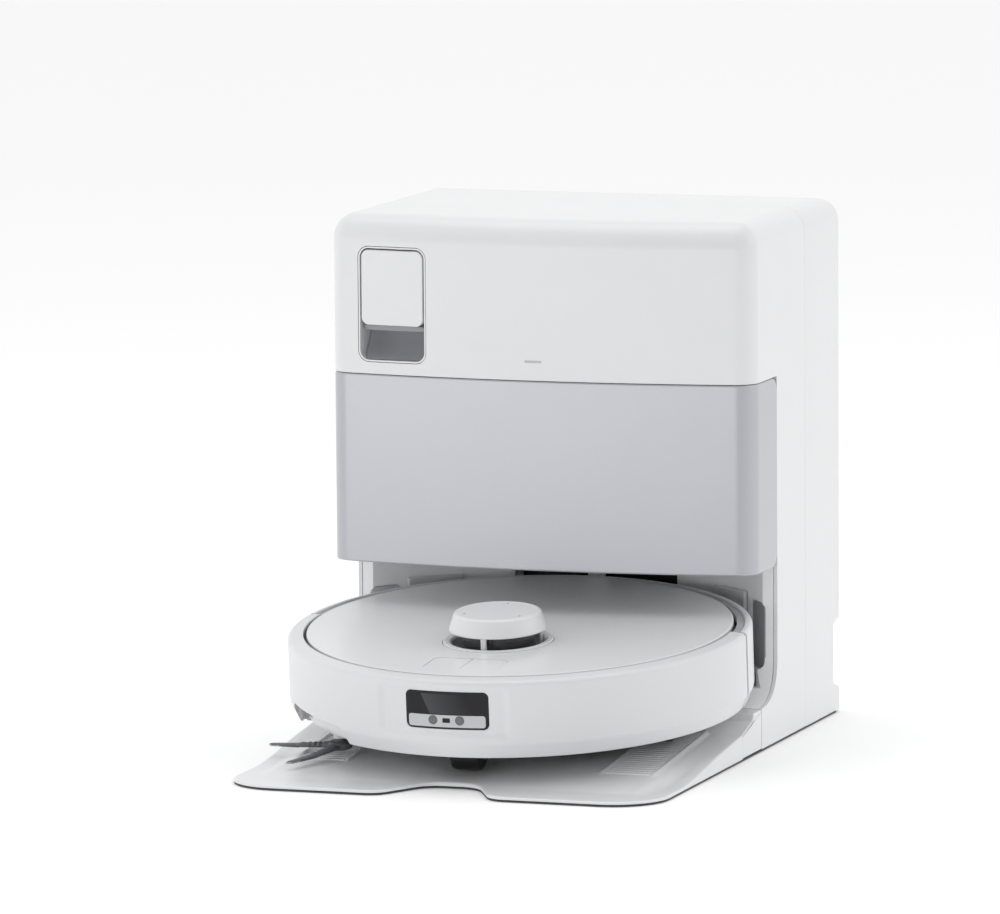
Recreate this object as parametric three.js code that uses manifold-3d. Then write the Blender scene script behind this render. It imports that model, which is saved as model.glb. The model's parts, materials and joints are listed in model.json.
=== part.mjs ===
// A robot vacuum and mop parked in its emptying and washing station.
// Millimetres, +Z up. The robot drives out towards -Y. The origin is on the floor, under the middle of the
// whole object. The robot is modelled level in its own group, which the station's ramp pitches rear up.

import * as THREE from 'three';
import { mergeVertices } from 'three/addons/utils/BufferGeometryUtils.js';
import Module from 'manifold-3d';

const wasm = await Module();
wasm.setup();

// ---- driving dimensions -------------------------------------------------------------------------------

const GAP = 0.4;                        // clearance between neighbouring pieces
const WALL = 3;                         // wall of the station's mouldings

const STATION = { halfWidth: 170, rearY: 243.6, height: 405, cornerY: 11.3, bulge: 16.9, cornerR: 18 };
const SEAM_Y = 146;                     // upright seam between the front shell and the rear cover
const PANEL = { bottom: 137, top: 282.7, rearY: 71.4, cornerR: 12 };
const RAMP = { frontY: -243.6, rearY: -19.3, cornerR: 42, bottom: 1.6, lip: 3.5 };
const TRAY_FRONT_Y = -18.9;             // seam between the ramp and the washing base
const LEG_FOOT_Y = 30.5;                // seam between the washing base and the tower's feet
const RECESS = { y: 221, low: 17, inLow: 24, inHigh: 71, high: 76 };

const PITCH = THREE.MathUtils.degToRad(5.1);
const PARKED = new THREE.Vector3(0, -33.2, 20);   // the robot's contact point when it is parked
const POCKET_R = 190;                   // the bay's concave wall, about the parked robot

const ROBOT = { radius: 176.5, skin: 3.1, bottom: 20, top: 79.5, splitY: 9.6, coverR: 162.2, coverZ: 81 };
const BUMPER_TRAVEL = 2;                // the bumper's stroke; every gap behind it is GAP wider
const TURRET = { y: -51, holeR: 42.4, cupR: 41.8, capR: 37, capTopR: 33, slotTop: 90, top: 104 };
const WHEEL = { x: 115, y: -14, radius: 35, width: 22 };
const CASTER = { y: -131, radius: 13, width: 24, trail: 3 };
const BRUSH = { y: -48, z: 29, radius: 20.5, half: 84 };
const SIDE_BRUSH = { x: -112, y: -100, reach: 57, armAngles: [187, 254] };
const MOP = { x: 68, y: 82, radius: 64, bottom: 3.5, thick: 8 };

const WINDOW = { halfWidth: 32, bottom: 42.7, top: 70.7, cornerR: 4 };
const DRAWER = { left: -145.2, right: -87.3, bottom: 292, top: 381.4, cornerR: 9, split: 320.7 };

const WHITE = [0xf1f2f3, 0.3, 0];
const SATIN = [0xe6e7e9, 0.45, 0];
const PALE = [0xd5d8dc, 0.5, 0];
const PANEL_GREY = [0xb9bec8, 0.28, 0.25];
const SILVER = [0xa9adb3, 0.35, 0.5];
const DARK = [0x2b2c30, 0.35, 0];
const GRAPHITE = [0x56585c, 0.6, 0];
const RUBBER = [0x1d1d1f, 0.85, 0];
const METAL = [0xc0c2c6, 0.3, 0.9];
const BOARD = [0x1f5b3a, 0.6, 0];
const CLOTH = [0xc9ccd0, 0.95, 0];

// ---- solids -------------------------------------------------------------------------------------------

function signedVolume(position, index) {
  const [a, b, c] = [new THREE.Vector3(), new THREE.Vector3(), new THREE.Vector3()];
  let volume = 0;
  for (let i = 0; i < index.length; i += 3) {
    a.fromArray(position, index[i] * 3);
    b.fromArray(position, index[i + 1] * 3);
    c.fromArray(position, index[i + 2] * 3);
    volume += a.dot(b.cross(c)) / 6;
  }
  return volume;
}

// A closed three.js geometry as a solid. Collapsed triangles go, and the faces are turned to point out.
function solid(geometry) {
  geometry.deleteAttribute('normal');
  geometry.deleteAttribute('uv');
  const merged = mergeVertices(geometry, 1e-4);
  const position = new Float32Array(merged.attributes.position.array);
  const source = merged.index.array;
  const kept = [];
  for (let i = 0; i < source.length; i += 3) {
    const [a, b, c] = [source[i], source[i + 1], source[i + 2]];
    if (a !== b && b !== c && c !== a) kept.push(a, b, c);
  }
  if (signedVolume(position, kept) < 0) {
    for (let i = 0; i < kept.length; i += 3) [kept[i], kept[i + 1]] = [kept[i + 1], kept[i]];
  }
  const triVerts = new Uint32Array(kept);
  return new wasm.Manifold(new wasm.Mesh({ numProp: 3, vertProperties: position, triVerts }));
}

const join = (first, ...rest) => rest.reduce((all, one) => all.add(one), first);
const cut = (first, ...rest) => rest.reduce((left, one) => left.subtract(one), first);
const common = (first, ...rest) => rest.reduce((left, one) => left.intersect(one), first);

function block(x0, x1, y0, y1, z0, z1) {
  const geometry = new THREE.BoxGeometry(x1 - x0, y1 - y0, z1 - z0);
  return solid(geometry.translate((x0 + x1) / 2, (y0 + y1) / 2, (z0 + z1) / 2));
}

// An outline from [a, b, radius] corners, each rounded by an arc of its radius.
function outline(corners, segments = 6) {
  const points = [];
  corners.forEach(([a, b, radius = 0], i) => {
    const corner = new THREE.Vector2(a, b);
    const [pa, pb] = corners[(i + corners.length - 1) % corners.length];
    const [na, nb] = corners[(i + 1) % corners.length];
    if (!radius) return points.push(corner);
    const back = new THREE.Vector2(pa, pb).sub(corner).normalize();
    const ahead = new THREE.Vector2(na, nb).sub(corner).normalize();
    const half = Math.acos(THREE.MathUtils.clamp(back.dot(ahead), -1, 1)) / 2;
    const bisector = back.clone().add(ahead).normalize();
    const centre = corner.clone().addScaledVector(bisector, radius / Math.sin(half));
    const start = corner.clone().addScaledVector(back, radius / Math.tan(half)).sub(centre);
    const end = corner.clone().addScaledVector(ahead, radius / Math.tan(half)).sub(centre);
    const turn = Math.atan2(start.cross(end), start.dot(end));
    for (let k = 0; k <= segments; k += 1) {
      const step = start.clone().rotateAround(new THREE.Vector2(), (turn * k) / segments);
      points.push(step.add(centre));
    }
    return points;
  });
  return new THREE.Shape(points);
}

const roundedBox = (a0, a1, b0, b1, radius, segments) => outline(
  [[a0, b0, radius], [a1, b0, radius], [a1, b1, radius], [a0, b1, radius]], segments);

function extruded(shape, depth) {
  return new THREE.ExtrudeGeometry(shape, { depth, bevelEnabled: false, curveSegments: 24 });
}

// Prisms of an outline in XY raised along Z, in YZ run along X, and in XZ run along Y.
const prismZ = (shape, z0, z1) => solid(extruded(shape, z1 - z0).translate(0, 0, z0));

const AXES = { x: new THREE.Vector3(1, 0, 0), y: new THREE.Vector3(0, 1, 0), z: new THREE.Vector3(0, 0, 1) };

function prismX(shape, x0, x1) {
  const turn = new THREE.Matrix4().makeBasis(AXES.y, AXES.z, AXES.x);
  return solid(extruded(shape, x1 - x0).applyMatrix4(turn).translate(x0, 0, 0));
}

function prismY(shape, y0, y1) {
  const turn = new THREE.Matrix4().makeBasis(AXES.x, AXES.z, AXES.y.clone().negate());
  return solid(extruded(shape, y1 - y0).applyMatrix4(turn).translate(0, y1, 0));
}

function drum(radius, z0, z1, x = 0, y = 0, segments = 32) {
  const geometry = new THREE.CylinderGeometry(radius, radius, z1 - z0, segments).rotateX(Math.PI / 2);
  return solid(geometry.translate(x, y, (z0 + z1) / 2));
}

function drumX(radius, x0, x1, y, z, segments = 32) {
  const geometry = new THREE.CylinderGeometry(radius, radius, x1 - x0, segments).rotateZ(Math.PI / 2);
  return solid(geometry.translate((x0 + x1) / 2, y, z));
}

// A turned piece about an upright axis, from a closed [radius, z] profile.
function turned(profile, x = 0, y = 0, segments = 48) {
  const points = [...profile, profile[0]].map(([radius, z]) => new THREE.Vector2(radius, z));
  return solid(new THREE.LatheGeometry(points, segments).rotateX(Math.PI / 2).translate(x, y, 0));
}

// A turned piece about a line along X, from a closed [radius, x] profile.
function turnedX(profile, y, z, segments = 32) {
  const points = [...profile, profile[0]].map(([radius, x]) => new THREE.Vector2(radius, x));
  return solid(new THREE.LatheGeometry(points, segments).rotateZ(-Math.PI / 2).translate(0, y, z));
}

const ring = (inner, outer, z0, z1, x = 0, y = 0, segments = 96) => turned(
  [[inner, z0], [outer, z0], [outer, z1], [inner, z1]], x, y, segments);

// ---- the station's outer body ---------------------------------------------------------------------------

// The tower's plan: straight sides, a front that bows out, and rounded upright corners.
function footprint(inset = 0, rearY = STATION.rearY) {
  const { halfWidth, cornerY, bulge, cornerR } = STATION;
  const bowR = (halfWidth ** 2 + bulge ** 2) / (2 * bulge);
  const centreY = cornerY - bulge + bowR;
  const half = halfWidth - inset;
  const front = (x) => centreY - Math.sqrt((bowR - inset) ** 2 - x ** 2);
  const corners = [[-half, front(half), cornerR - inset]];
  for (let k = -5; k <= 5; k += 1) corners.push([(half * k) / 6, front((half * k) / 6)]);
  corners.push([half, front(half), cornerR - inset], [half, rearY - inset, 8], [-half, rearY - inset, 8]);
  return outline(corners);
}

// The tower's side view, with the hose and cable recess low at the back.
function sideView(inset = 0) {
  const { rearY, height } = STATION;
  return outline([
    [-20, -5], [rearY - inset, -5], [rearY - inset, RECESS.low - inset], [RECESS.y - inset, RECESS.inLow - inset],
    [RECESS.y - inset, RECESS.inHigh + inset], [rearY - inset, RECESS.high + inset],
    [rearY - inset, height - inset, 24 - inset], [inset - 5.6, height - inset, 20 - inset],
  ]);
}

function frontView(inset = 0) {
  const half = STATION.halfWidth - inset;
  const top = STATION.height - inset;
  return outline([[-half, -5], [half, -5], [half, top, 18 - inset], [-half, top, 18 - inset]]);
}

function towerBody(inset = 0) {
  return common(
    prismZ(footprint(inset), RAMP.bottom, STATION.height - inset),
    prismY(frontView(inset), -20, 260),
    prismX(sideView(inset), -180, 180),
  );
}

const MOUTH = { footZ: 32.6, pullY: 71, pullZ: 33.5, legY: 71.7, legZ: 66 };

// Removes the bay's mouth: a straight leg above a hollow curve that runs out into a low foot.
function bayMouth() {
  const mouth = new THREE.Shape();
  mouth.moveTo(-60, -10);
  mouth.lineTo(LEG_FOOT_Y, -10);
  mouth.lineTo(LEG_FOOT_Y, MOUTH.footZ);
  mouth.quadraticCurveTo(MOUTH.pullY, MOUTH.pullZ, MOUTH.legY, MOUTH.legZ);
  mouth.lineTo(MOUTH.legY, PANEL.top + GAP);
  mouth.lineTo(-60, PANEL.top + GAP);
  return prismX(mouth, -200, 200);
}

function drawerHole(grow = 0, y0 = -30, y1 = 60) {
  const { left, right, bottom, top, cornerR } = DRAWER;
  return prismY(roundedBox(left - grow, right + grow, bottom - grow, top + grow, cornerR + grow, 4), y0, y1);
}

function lightHole(grow = 0) {
  return prismY(roundedBox(-7.2 - grow, 7.2 + grow, 296.3 - grow, 298.7 + grow, 1.1 + grow, 3), -30, 20);
}

function frontShell() {
  const skin = cut(towerBody(), towerBody(WALL), block(-200, 200, SEAM_Y - GAP / 2, 300, -10, 500));
  return cut(skin, block(-166, 166, 0, 300, -10, 30), bayMouth(), drawerHole(), lightHole());
}

function rearCover() {
  const skin = cut(towerBody(), block(-200, 200, -50, SEAM_Y + GAP / 2, -10, 500), towerBody(WALL));
  const floorCut = block(-167, 167, 0, 240.6, -10, 6);
  return cut(skin, floorCut, inletHole());
}

// ---- the parking bay ------------------------------------------------------------------------------------

const pocket = (radius) => drum(radius, -10, 200, 0, PARKED.y, 96);
const keepBetween = (y0, y1, x = 200) => block(-x, x, y0, y1, -10, 500);
const BAY = { floor: 36.4, ceiling: 140.3, halfWidth: 166.6, rearHalf: 68.3 };

const FOOT = { inner: 142, top: 43, clearR: 186 };

// The low lining inside each foot, flush with the mouth's curve and clear of the robot's skirt.
function footLining(side) {
  const shape = new THREE.Shape();
  shape.moveTo(LEG_FOOT_Y + GAP, MOUTH.footZ);
  shape.quadraticCurveTo(MOUTH.pullY, MOUTH.pullZ, MOUTH.legY, MOUTH.legZ);
  shape.lineTo(74, MOUTH.legZ);
  shape.lineTo(74, 30);
  shape.lineTo(LEG_FOOT_Y + GAP, 30);
  const [low, high] = side > 0 ? [FOOT.inner, BAY.halfWidth] : [-BAY.halfWidth, -FOOT.inner];
  return cut(prismX(shape, low, high), common(pocket(FOOT.clearR), block(-200, 200, -200, 200, FOOT.top, 200)));
}

// The two concave leg linings, joined by the ceiling.
function bayShroud() {
  const { floor, ceiling, halfWidth, rearHalf } = BAY;
  const lining = common(cut(pocket(POCKET_R + WALL), pocket(POCKET_R)), keepBetween(72, SEAM_Y - 0.5, halfWidth));
  const fronts = cut(block(-halfWidth, halfWidth, 72, 75, floor, 200), pocket(POCKET_R + 1));
  const walls = cut(common(join(lining, fronts), block(-200, 200, 0, 300, floor, ceiling + 1)),
    block(-rearHalf, rearHalf, 60, 300, -10, 200));
  const roof = common(block(-halfWidth, halfWidth, 14, SEAM_Y - 0.5, ceiling, ceiling + WALL), towerBody(WALL + GAP));
  return cut(join(walls, roof, ...SIDES.map(footLining)), ...SIDES.flatMap((side) => [ventPlate(side, 0.5), contactBlock(side, 0.5)]));
}

function bayBackWall() {
  const { floor, ceiling, rearHalf } = BAY;
  const half = rearHalf - GAP;
  const wall = common(cut(pocket(POCKET_R + WALL), pocket(POCKET_R)), block(-half, half, 100, 200, floor, ceiling - 0.6));
  const { front, rear, bottom, top } = SIGNAL;
  const box = block(-half, half, front - 11, rear + 2, bottom - WALL, top + WALL);
  return cut(join(wall, box), block(-SIGNAL.half, SIGNAL.half, 100, 200, bottom, top));
}

const SIGNAL = { half: 66.4, front: 165, rear: 168, bottom: 89, top: 131 };
const BRACKET = { tipHalf: 6, rootHalf: 11.5, tip: 109, root: 139.8, front: 146, rear: 150 };

function signalWindow() {
  const { half, front, rear, bottom, top } = SIGNAL;
  return block(-half + GAP, half - GAP, front, rear, bottom + GAP, top - GAP);
}

function signalBracket() {
  const { tipHalf, rootHalf, tip, root, front, rear } = BRACKET;
  return prismY(outline([[-tipHalf, tip], [tipHalf, tip], [rootHalf, root], [-rootHalf, root]]), front, rear);
}

// A plate or block set square on the bay's concave wall, at an angle from +X about the parked robot.
function onPocket(geometry, side, degrees, radius, z) {
  const angle = THREE.MathUtils.degToRad(side > 0 ? degrees : 180 - degrees);
  geometry.rotateZ(angle);
  return solid(geometry.translate(radius * Math.cos(angle), PARKED.y + radius * Math.sin(angle), z));
}

const SIDES = [-1, 1];
const VENT = { degrees: 37.3, width: 26, height: 51, z: 82 };
const CONTACT = { degrees: 37, width: 12, height: 14, depth: 9, z: 45 };
const GUIDE = { from: 42.8, to: 57, bottom: 86, top: 113, inner: 186 };

function ventPlate(side, grow = 0) {
  const shape = roundedBox(-VENT.width / 2 - grow, VENT.width / 2 + grow,
    -VENT.height / 2 - grow, VENT.height / 2 + grow, 4 + grow, 4);
  const thick = grow ? 14 : 2;
  const turn = new THREE.Matrix4().makeBasis(AXES.y, AXES.z, AXES.x);
  const plate = extruded(shape, thick).applyMatrix4(turn).translate(-thick / 2, 0, 0);
  return onPocket(plate, side, VENT.degrees, POCKET_R + 1.6, VENT.z);
}

function contactBlock(side, grow = 0) {
  const { depth, width, height, degrees, z } = CONTACT;
  const size = grow ? 20 : depth;
  const geometry = new THREE.BoxGeometry(size, width + 2 * grow, height + 2 * grow);
  return onPocket(geometry, side, degrees, POCKET_R + 1.5, z);
}

function guidePad(side) {
  const band = ring(GUIDE.inner, POCKET_R - GAP, GUIDE.bottom, GUIDE.top, 0, PARKED.y);
  const reach = 260;
  const ray = (degrees) => {
    const angle = THREE.MathUtils.degToRad(side > 0 ? degrees : 180 - degrees);
    return [reach * Math.cos(angle), PARKED.y + reach * Math.sin(angle)];
  };
  return common(band, prismZ(outline([[0, PARKED.y], ray(GUIDE.from), ray(GUIDE.to)]), 0, 200));
}

// ---- the station's base -----------------------------------------------------------------------------------

// The plane the robot stands on, and solids under it: z is the height above that plane, parked.
function deckBlock(x0, x1, y0, y1, z0, z1) {
  const geometry = new THREE.BoxGeometry(x1 - x0, y1 - y0, z1 - z0);
  geometry.translate((x0 + x1) / 2, (y0 + y1) / 2, (z0 + z1) / 2);
  return solid(geometry.rotateX(PITCH).translate(...PARKED));
}

const TRACK = { inner: 103, outer: 139, ridge: 4, front: -118 };

function rampPlan(inset = 0) {
  const { frontY, cornerR } = RAMP;
  const half = STATION.halfWidth - inset;
  const front = frontY + inset;
  const notch = front + 46;
  return outline([
    [-half, front, cornerR - inset], [-44, front, 18], [-20, notch, 22], [20, notch, 22], [44, front, 18],
    [half, front, cornerR - inset], [half, RAMP.rearY], [-half, RAMP.rearY],
  ]);
}

function frontRamp() {
  const shoulders = prismX(outline([
    [-250, RAMP.bottom], [RAMP.rearY, RAMP.bottom], [RAMP.rearY, 20.1], [-81.3, 13.7], [-126.3, 7.2],
    [-151, RAMP.lip], [-250, RAMP.lip],
  ]), -STATION.halfWidth, STATION.halfWidth);
  const deck = deckBlock(-TRACK.outer - TRACK.ridge, TRACK.outer + TRACK.ridge, -180, 60, -60, -1);
  const ridges = SIDES.flatMap((side) => [TRACK.inner - TRACK.ridge, TRACK.outer].map((x) => {
    const [low, high] = side > 0 ? [x, x + TRACK.ridge] : [-x - TRACK.ridge, -x];
    return deckBlock(low, high, TRACK.front, 60, -60, 0.5);
  }));
  const treads = SIDES.map((side) => deckBlock(side > 0 ? TRACK.inner : -TRACK.outer,
    side > 0 ? TRACK.outer : -TRACK.inner, TRACK.front, 60, -60, -0.5));
  const above = block(-200, 200, -300, RAMP.rearY, RAMP.bottom, 60);
  const raised = common(join(deck, ...ridges, ...treads), above);
  const hollow = prismX(outline([[-130, 0], [-28, 0], [-28, 13], [-130, 4.6]]), -160, 160);
  return cut(common(join(shoulders, raised), prismZ(rampPlan(), 0, 60)), hollow);
}

function baseTray() {
  const inside = STATION.halfWidth - WALL - GAP;
  const sill = prismX(outline([
    [TRAY_FRONT_Y, RAMP.bottom], [LEG_FOOT_Y - GAP, RAMP.bottom], [LEG_FOOT_Y - GAP, 32.3], [10.6, 32.2],
    [7.9, 26.5], [TRAY_FRONT_Y, 20.1],
  ]), -STATION.halfWidth, STATION.halfWidth);
  const floor = common(deckBlock(-inside, inside, 40, 179, -60, -3), block(-200, 200, 0, 145.4, RAMP.bottom, 60));
  const plate = common(block(-inside, inside, 140, 260, RAMP.bottom, RAMP.bottom + WALL), towerBody(WALL + GAP));
  const well = deckBlock(-138, 138, -20, 70, -2, 60);
  const pocketForTray = deckBlock(-WASH.half - GAP, WASH.half + GAP, WASH.front - GAP, WASH.rear + GAP, -9.4, 60);
  const hollow = block(-160, 160, -12, 138, -1, 11);
  return cut(join(sill, floor, plate), well, pocketForTray, hollow);
}

const WASH = { half: 132, front: 30, rear: 160 };

function washTray() {
  const { half, front, rear } = WASH;
  const plan = roundedBox(-half, half, front, rear, 12, 4);
  const inner = roundedBox(-half + 4, half - 4, front + 4, rear - 4, 8, 4);
  return cut(prismZ(plan, -9, -3.5), prismZ(inner, -7, 0));
}

function floorMat() {
  const half = STATION.halfWidth - 0.3;
  const plan = outline([[-half, -150], [half, -150], [half, 236, 8], [-half, 236, 8]]);
  return join(prismZ(rampPlan(0.3), 0, RAMP.bottom - 0.3), prismZ(plan, 0, RAMP.bottom - 0.3));
}

// ---- the emptying compartment -------------------------------------------------------------------------------

const BOXED = { half: 163, front: 22, rear: 145.4, bottom: 143.7, top: 279.2, bulkhead: 2 };

function innerFrame() {
  const { half, front, rear, bottom, top, bulkhead } = BOXED;
  const bagSpace = block(-half + WALL, -bulkhead, 0, rear - WALL, bottom + WALL, top - WALL);
  const motorSpace = block(bulkhead, half - WALL, front + WALL, 200, bottom + WALL, top - WALL);
  return cut(block(-half, half, front, rear, bottom, top), bagSpace, motorSpace);
}

function dustCover() {
  const { bottom, top, rearY, cornerR } = PANEL;
  const skin = cut(prismZ(footprint(), bottom, top), prismZ(footprint(WALL), bottom + WALL, top - WALL),
    prismZ(footprint(15), bottom - 5, top + 5));
  return common(skin, prismX(outline(
    [[-40, bottom], [rearY, bottom, cornerR], [rearY, top, cornerR], [-40, top]]), -200, 200));
}

const BAG = { left: -152, right: -14, front: 22, rear: 134, cornerR: 26, bottom: 150, top: 262, mouthR: 24 };
const FAN = { x: 82, y: 82, bottom: 148, radius: 52, bellTop: 198, neckR: 38, top: 250 };

const dustBag = () => prismZ(roundedBox(BAG.left, BAG.right, BAG.front, BAG.rear, BAG.cornerR), BAG.bottom, BAG.top);

function bagCollar() {
  const plate = roundedBox(BAG.left + 2, BAG.right - 2, BAG.front + 4, BAG.rear - 2, 6);
  const [x, y] = [(BAG.left + BAG.right) / 2, (BAG.front + BAG.rear) / 2];
  return cut(prismZ(plate, BAG.top + 1, BAG.top + 5), drum(BAG.mouthR, 200, 300, x, y, 24));
}

function suctionFan() {
  const { x, y, bottom, radius, bellTop, neckR, top } = FAN;
  return turned([
    [0, bottom], [radius - 4, bottom], [radius, bottom + 8], [radius, bellTop - 8], [neckR, bellTop],
    [neckR, top - 6], [neckR - 8, top], [0, top],
  ], x, y, 28);
}

// ---- the detergent drawer and the upper compartment -----------------------------------------------------------

const flushFront = () => prismZ(footprint(), 200, 420);

function detergentDrawer() {
  const { left, right, top, split, cornerR } = DRAWER;
  const plate = prismY(roundedBox(left + 2.9, right - 2.9, split, top - 2.9, cornerR - 3, 4), -30, 16);
  const bottle = prismY(roundedBox(left + 5.5, right - 5.5, split + 3, top - 5.5, 8, 4), 15, 125);
  return join(common(plate, flushFront()), bottle);
}

function drawerBezel() {
  const tube = cut(drawerHole(-GAP, -30, 38), drawerHole(-GAP - 1.4, -40, 60));
  return common(tube, flushFront());
}

function fingerScoop() {
  const { split, bottom } = DRAWER;
  const bowl = new THREE.Shape();
  bowl.moveTo(6.5, bottom);
  bowl.lineTo(38, bottom);
  bowl.lineTo(38, split);
  bowl.lineTo(34, split);
  bowl.quadraticCurveTo(33, bottom + 6, 6.5, bottom + 4.5);
  return common(prismX(bowl, -160, -60), drawerHole(-GAP - 1.8, -40, 60));
}

const statusLight = () => cut(common(lightHole(-GAP), flushFront()), block(-40, 40, 0.6, 60, 200, 400));

const UPPER_FLOOR = 280;                // the upper compartment's floor
const PUMP = { x: 44, y: 70, radius: 26, height: 50, headR: 19, headHeight: 32 };
const DRYER = { x: 112, y: 78, radius: 36, height: 32, ductTo: 150, ductFront: 44, ductRear: 66 };
const BOARD_PLATE = { left: -60, right: 140, front: 138, thick: 2, bottom: 290, top: 380 };

function washPump() {
  const { x, y, radius, height, headR, headHeight } = PUMP;
  const neck = UPPER_FLOOR + height;
  return join(drum(radius, UPPER_FLOOR, neck, x, y, 28), drum(headR, neck - 1, neck + headHeight, x, y, 28));
}

function dryingFan() {
  const { x, y, radius, height, ductTo, ductFront, ductRear } = DRYER;
  const duct = block(x, ductTo, ductFront, ductRear, UPPER_FLOOR, UPPER_FLOOR + height);
  return join(drum(radius, UPPER_FLOOR, UPPER_FLOOR + height, x, y, 32), duct);
}

function controlBoard() {
  const { left, right, front, thick, bottom, top } = BOARD_PLATE;
  return block(left, right, front, front + thick, bottom, top);
}

// ---- connections in the rear recess -----------------------------------------------------------------------------

const INLET = { x: -104, z: 47, halfWidth: 15, halfHeight: 11 };

function inletHole() {
  const { x, z, halfWidth, halfHeight } = INLET;
  return block(x - halfWidth - GAP, x + halfWidth + GAP, 200, 260, z - halfHeight - GAP, z + halfHeight + GAP);
}

function powerInlet() {
  const { x, z, halfWidth, halfHeight } = INLET;
  const body = block(x - halfWidth, x + halfWidth, 196, 220.6, z - halfHeight, z + halfHeight);
  const socket = prismY(roundedBox(x - 9, x + 9, z - 4.6, z + 4.6, 4.4, 4), 206, 260);
  const blades = [-4.3, 4.3].map((offset) => block(x + offset - 1.2, x + offset + 1.2, 205, 217, z - 1.2, z + 1.2));
  return join(cut(body, socket), ...blades);
}

// A hose tail with its flange on the recess wall.
function hoseTail(x, z, radius) {
  const profile = [[radius - 2.5, 0], [radius + 4, 0], [radius + 4, 3], [radius, 3], [radius, 18],
    [radius - 1, 20], [radius - 2.5, 20]];
  const points = [...profile, profile[0]].map(([r, y]) => new THREE.Vector2(r, y));
  const geometry = new THREE.LatheGeometry(points, 18);
  return solid(geometry.translate(x, RECESS.y + GAP, z));
}

// ---- the robot's shells (level, z from the floor plane under its wheels) ------------------------------------------

function skinRing() {
  const { radius, skin, bottom, top, coverR } = ROBOT;
  const inner = radius - skin;
  const rim = coverR + BUMPER_TRAVEL + GAP;
  return turned([
    [radius - 7.6, bottom], [radius - 5, bottom], [radius - 1.2, bottom + 9], [radius, bottom + 11],
    [radius, top - 4], [radius - 1.2, top - 1.2], [radius - 4, top + 0.4], [rim, top + 1], [rim, top - 1.5],
    [inner - 2, top - 2.5], [inner, top - 5], [inner, bottom + 11], [inner - 1, bottom + 9],
  ], 0, 0, 80);
}

// The cut in the bumper's skirt that bares the side brush.
function brushNotch(grow = 0) {
  const shape = outline([
    [-62 - grow, -60], [42 + grow, -60], [26 + grow, 34 + grow, 6], [-58 - grow, 36 + grow, 5]], 4);
  const turn = new THREE.Matrix4().makeBasis(AXES.y, AXES.z, AXES.x);
  const geometry = extruded(shape, 70).applyMatrix4(turn).translate(140, 0, 0);
  return solid(geometry.rotateZ(THREE.MathUtils.degToRad(-130)));
}

function windowOpening(grow = 0) {
  const { halfWidth, bottom, top, cornerR } = WINDOW;
  return prismY(roundedBox(-halfWidth - grow, halfWidth + grow, bottom - grow, top + grow, cornerR + grow, 4), -200, -140);
}

function bumper() {
  const front = common(skinRing(), block(-200, 200, -200, ROBOT.splitY, 0, 100));
  return cut(front, windowOpening(GAP), brushNotch());
}

function rearShell() {
  return common(skinRing(), block(-200, 200, ROBOT.splitY + BUMPER_TRAVEL + 2 * GAP, 200, 0, 100));
}

function cameraWindow() {
  return common(ring(173, 174.7, 30, 80), windowOpening());
}

// The pale strip low on the window, with its two lens barrels and a slot between them.
function sensorBand() {
  const band = common(ring(175.1, 175.8, 44, 53.2),
    prismY(roundedBox(-WINDOW.halfWidth + 2, WINDOW.halfWidth - 2, 44, 53.2, 2, 3), -200, -140));
  const slot = block(-3, 3, -200, -140, 47.4, 51);
  const barrels = [-10.4, 10.4].map((x) => {
    const geometry = new THREE.CylinderGeometry(3.5, 3.5, 1, 12).translate(x, x * x / 350 - 175.6, 49.4);
    return solid(geometry);
  });
  return join(cut(band, slot), ...barrels);
}

const MOP_POCKET_R = MOP.radius + 2.5;

const PAN = { low: 9, flatR: 122, rimR: 167, rimZ: 20, top: 63.6 };   // the chassis: flat below, then a cone

function chassis() {
  const { low, flatR, rimR, rimZ, top } = PAN;
  const outer = turned([[0, low], [flatR, low], [rimR - 0.6, rimZ], [rimR, 30], [rimR, top], [0, top]], 0, 0, 60);
  const inner = turned([[0, low + WALL], [flatR - 1, low + WALL], [rimR - WALL - 0.4, rimZ + 2.4], [rimR - WALL, 30],
    [rimR - WALL, 70], [0, 70]], 0, 0, 60);
  const roofs = SIDES.map((side) => common(drum(MOP_POCKET_R + WALL, 9, 26, side * MOP.x, MOP.y, 40), outer));
  const pan = join(cut(outer, inner), ...roofs);
  const mopPockets = SIDES.map((side) => drum(MOP_POCKET_R, 0, 23, side * MOP.x, MOP.y, 40));
  const spindles = SIDES.map((side) => drum(8, 0, 60, side * MOP.x, MOP.y, 16));
  const wheelWells = SIDES.map((side) => block(side * WHEEL.x - 17.5, side * WHEEL.x + 16, -54, 26, 0, 60));
  const brushWell = block(-BRUSH.half - 8.4, BRUSH.half + 8.4, BRUSH.y - 27.4, BRUSH.y + 27.4, 0, 60);
  const sideWell = drum(20, 0, 30, SIDE_BRUSH.x, SIDE_BRUSH.y, 32);
  const casterWell = drum(24.5, 0, 60, 0, CASTER.y, 32);
  return cut(pan, ...mopPockets, ...spindles, ...wheelWells, brushWell, sideWell, casterWell, brushNotch(-1));
}

function upperDeck() {
  const plate = turned([
    [0, 64], [168, 64], [168, 67], [161, 67], [161, 77], [157, 77], [157, 67], [0, 67],
  ], 0, 0, 60);
  const arches = SIDES.map((side) => block(side * WHEEL.x - 17, side * WHEEL.x + 16, -56, 28, 40, 76));
  const binHole = block(-61, 61, -6.8, 42.8, 40, 76);
  return cut(plate, ...arches, binHole, drum(20, 40, 76, 0, TURRET.y, 24));
}

function topCover() {
  const { coverR, coverZ } = ROBOT;
  const disc = turned([[0, 77.4], [coverR - 0.6, 77.4], [coverR, 78], [coverR, coverZ - 1], [coverR - 1, coverZ],
    [0, coverZ]], 0, 0, 60);
  return cut(disc, drum(TURRET.holeR, 60, 100, 0, TURRET.y, 40), keyOpening(GAP));
}

// ---- the robot's turret and keys --------------------------------------------------------------------------------

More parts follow.
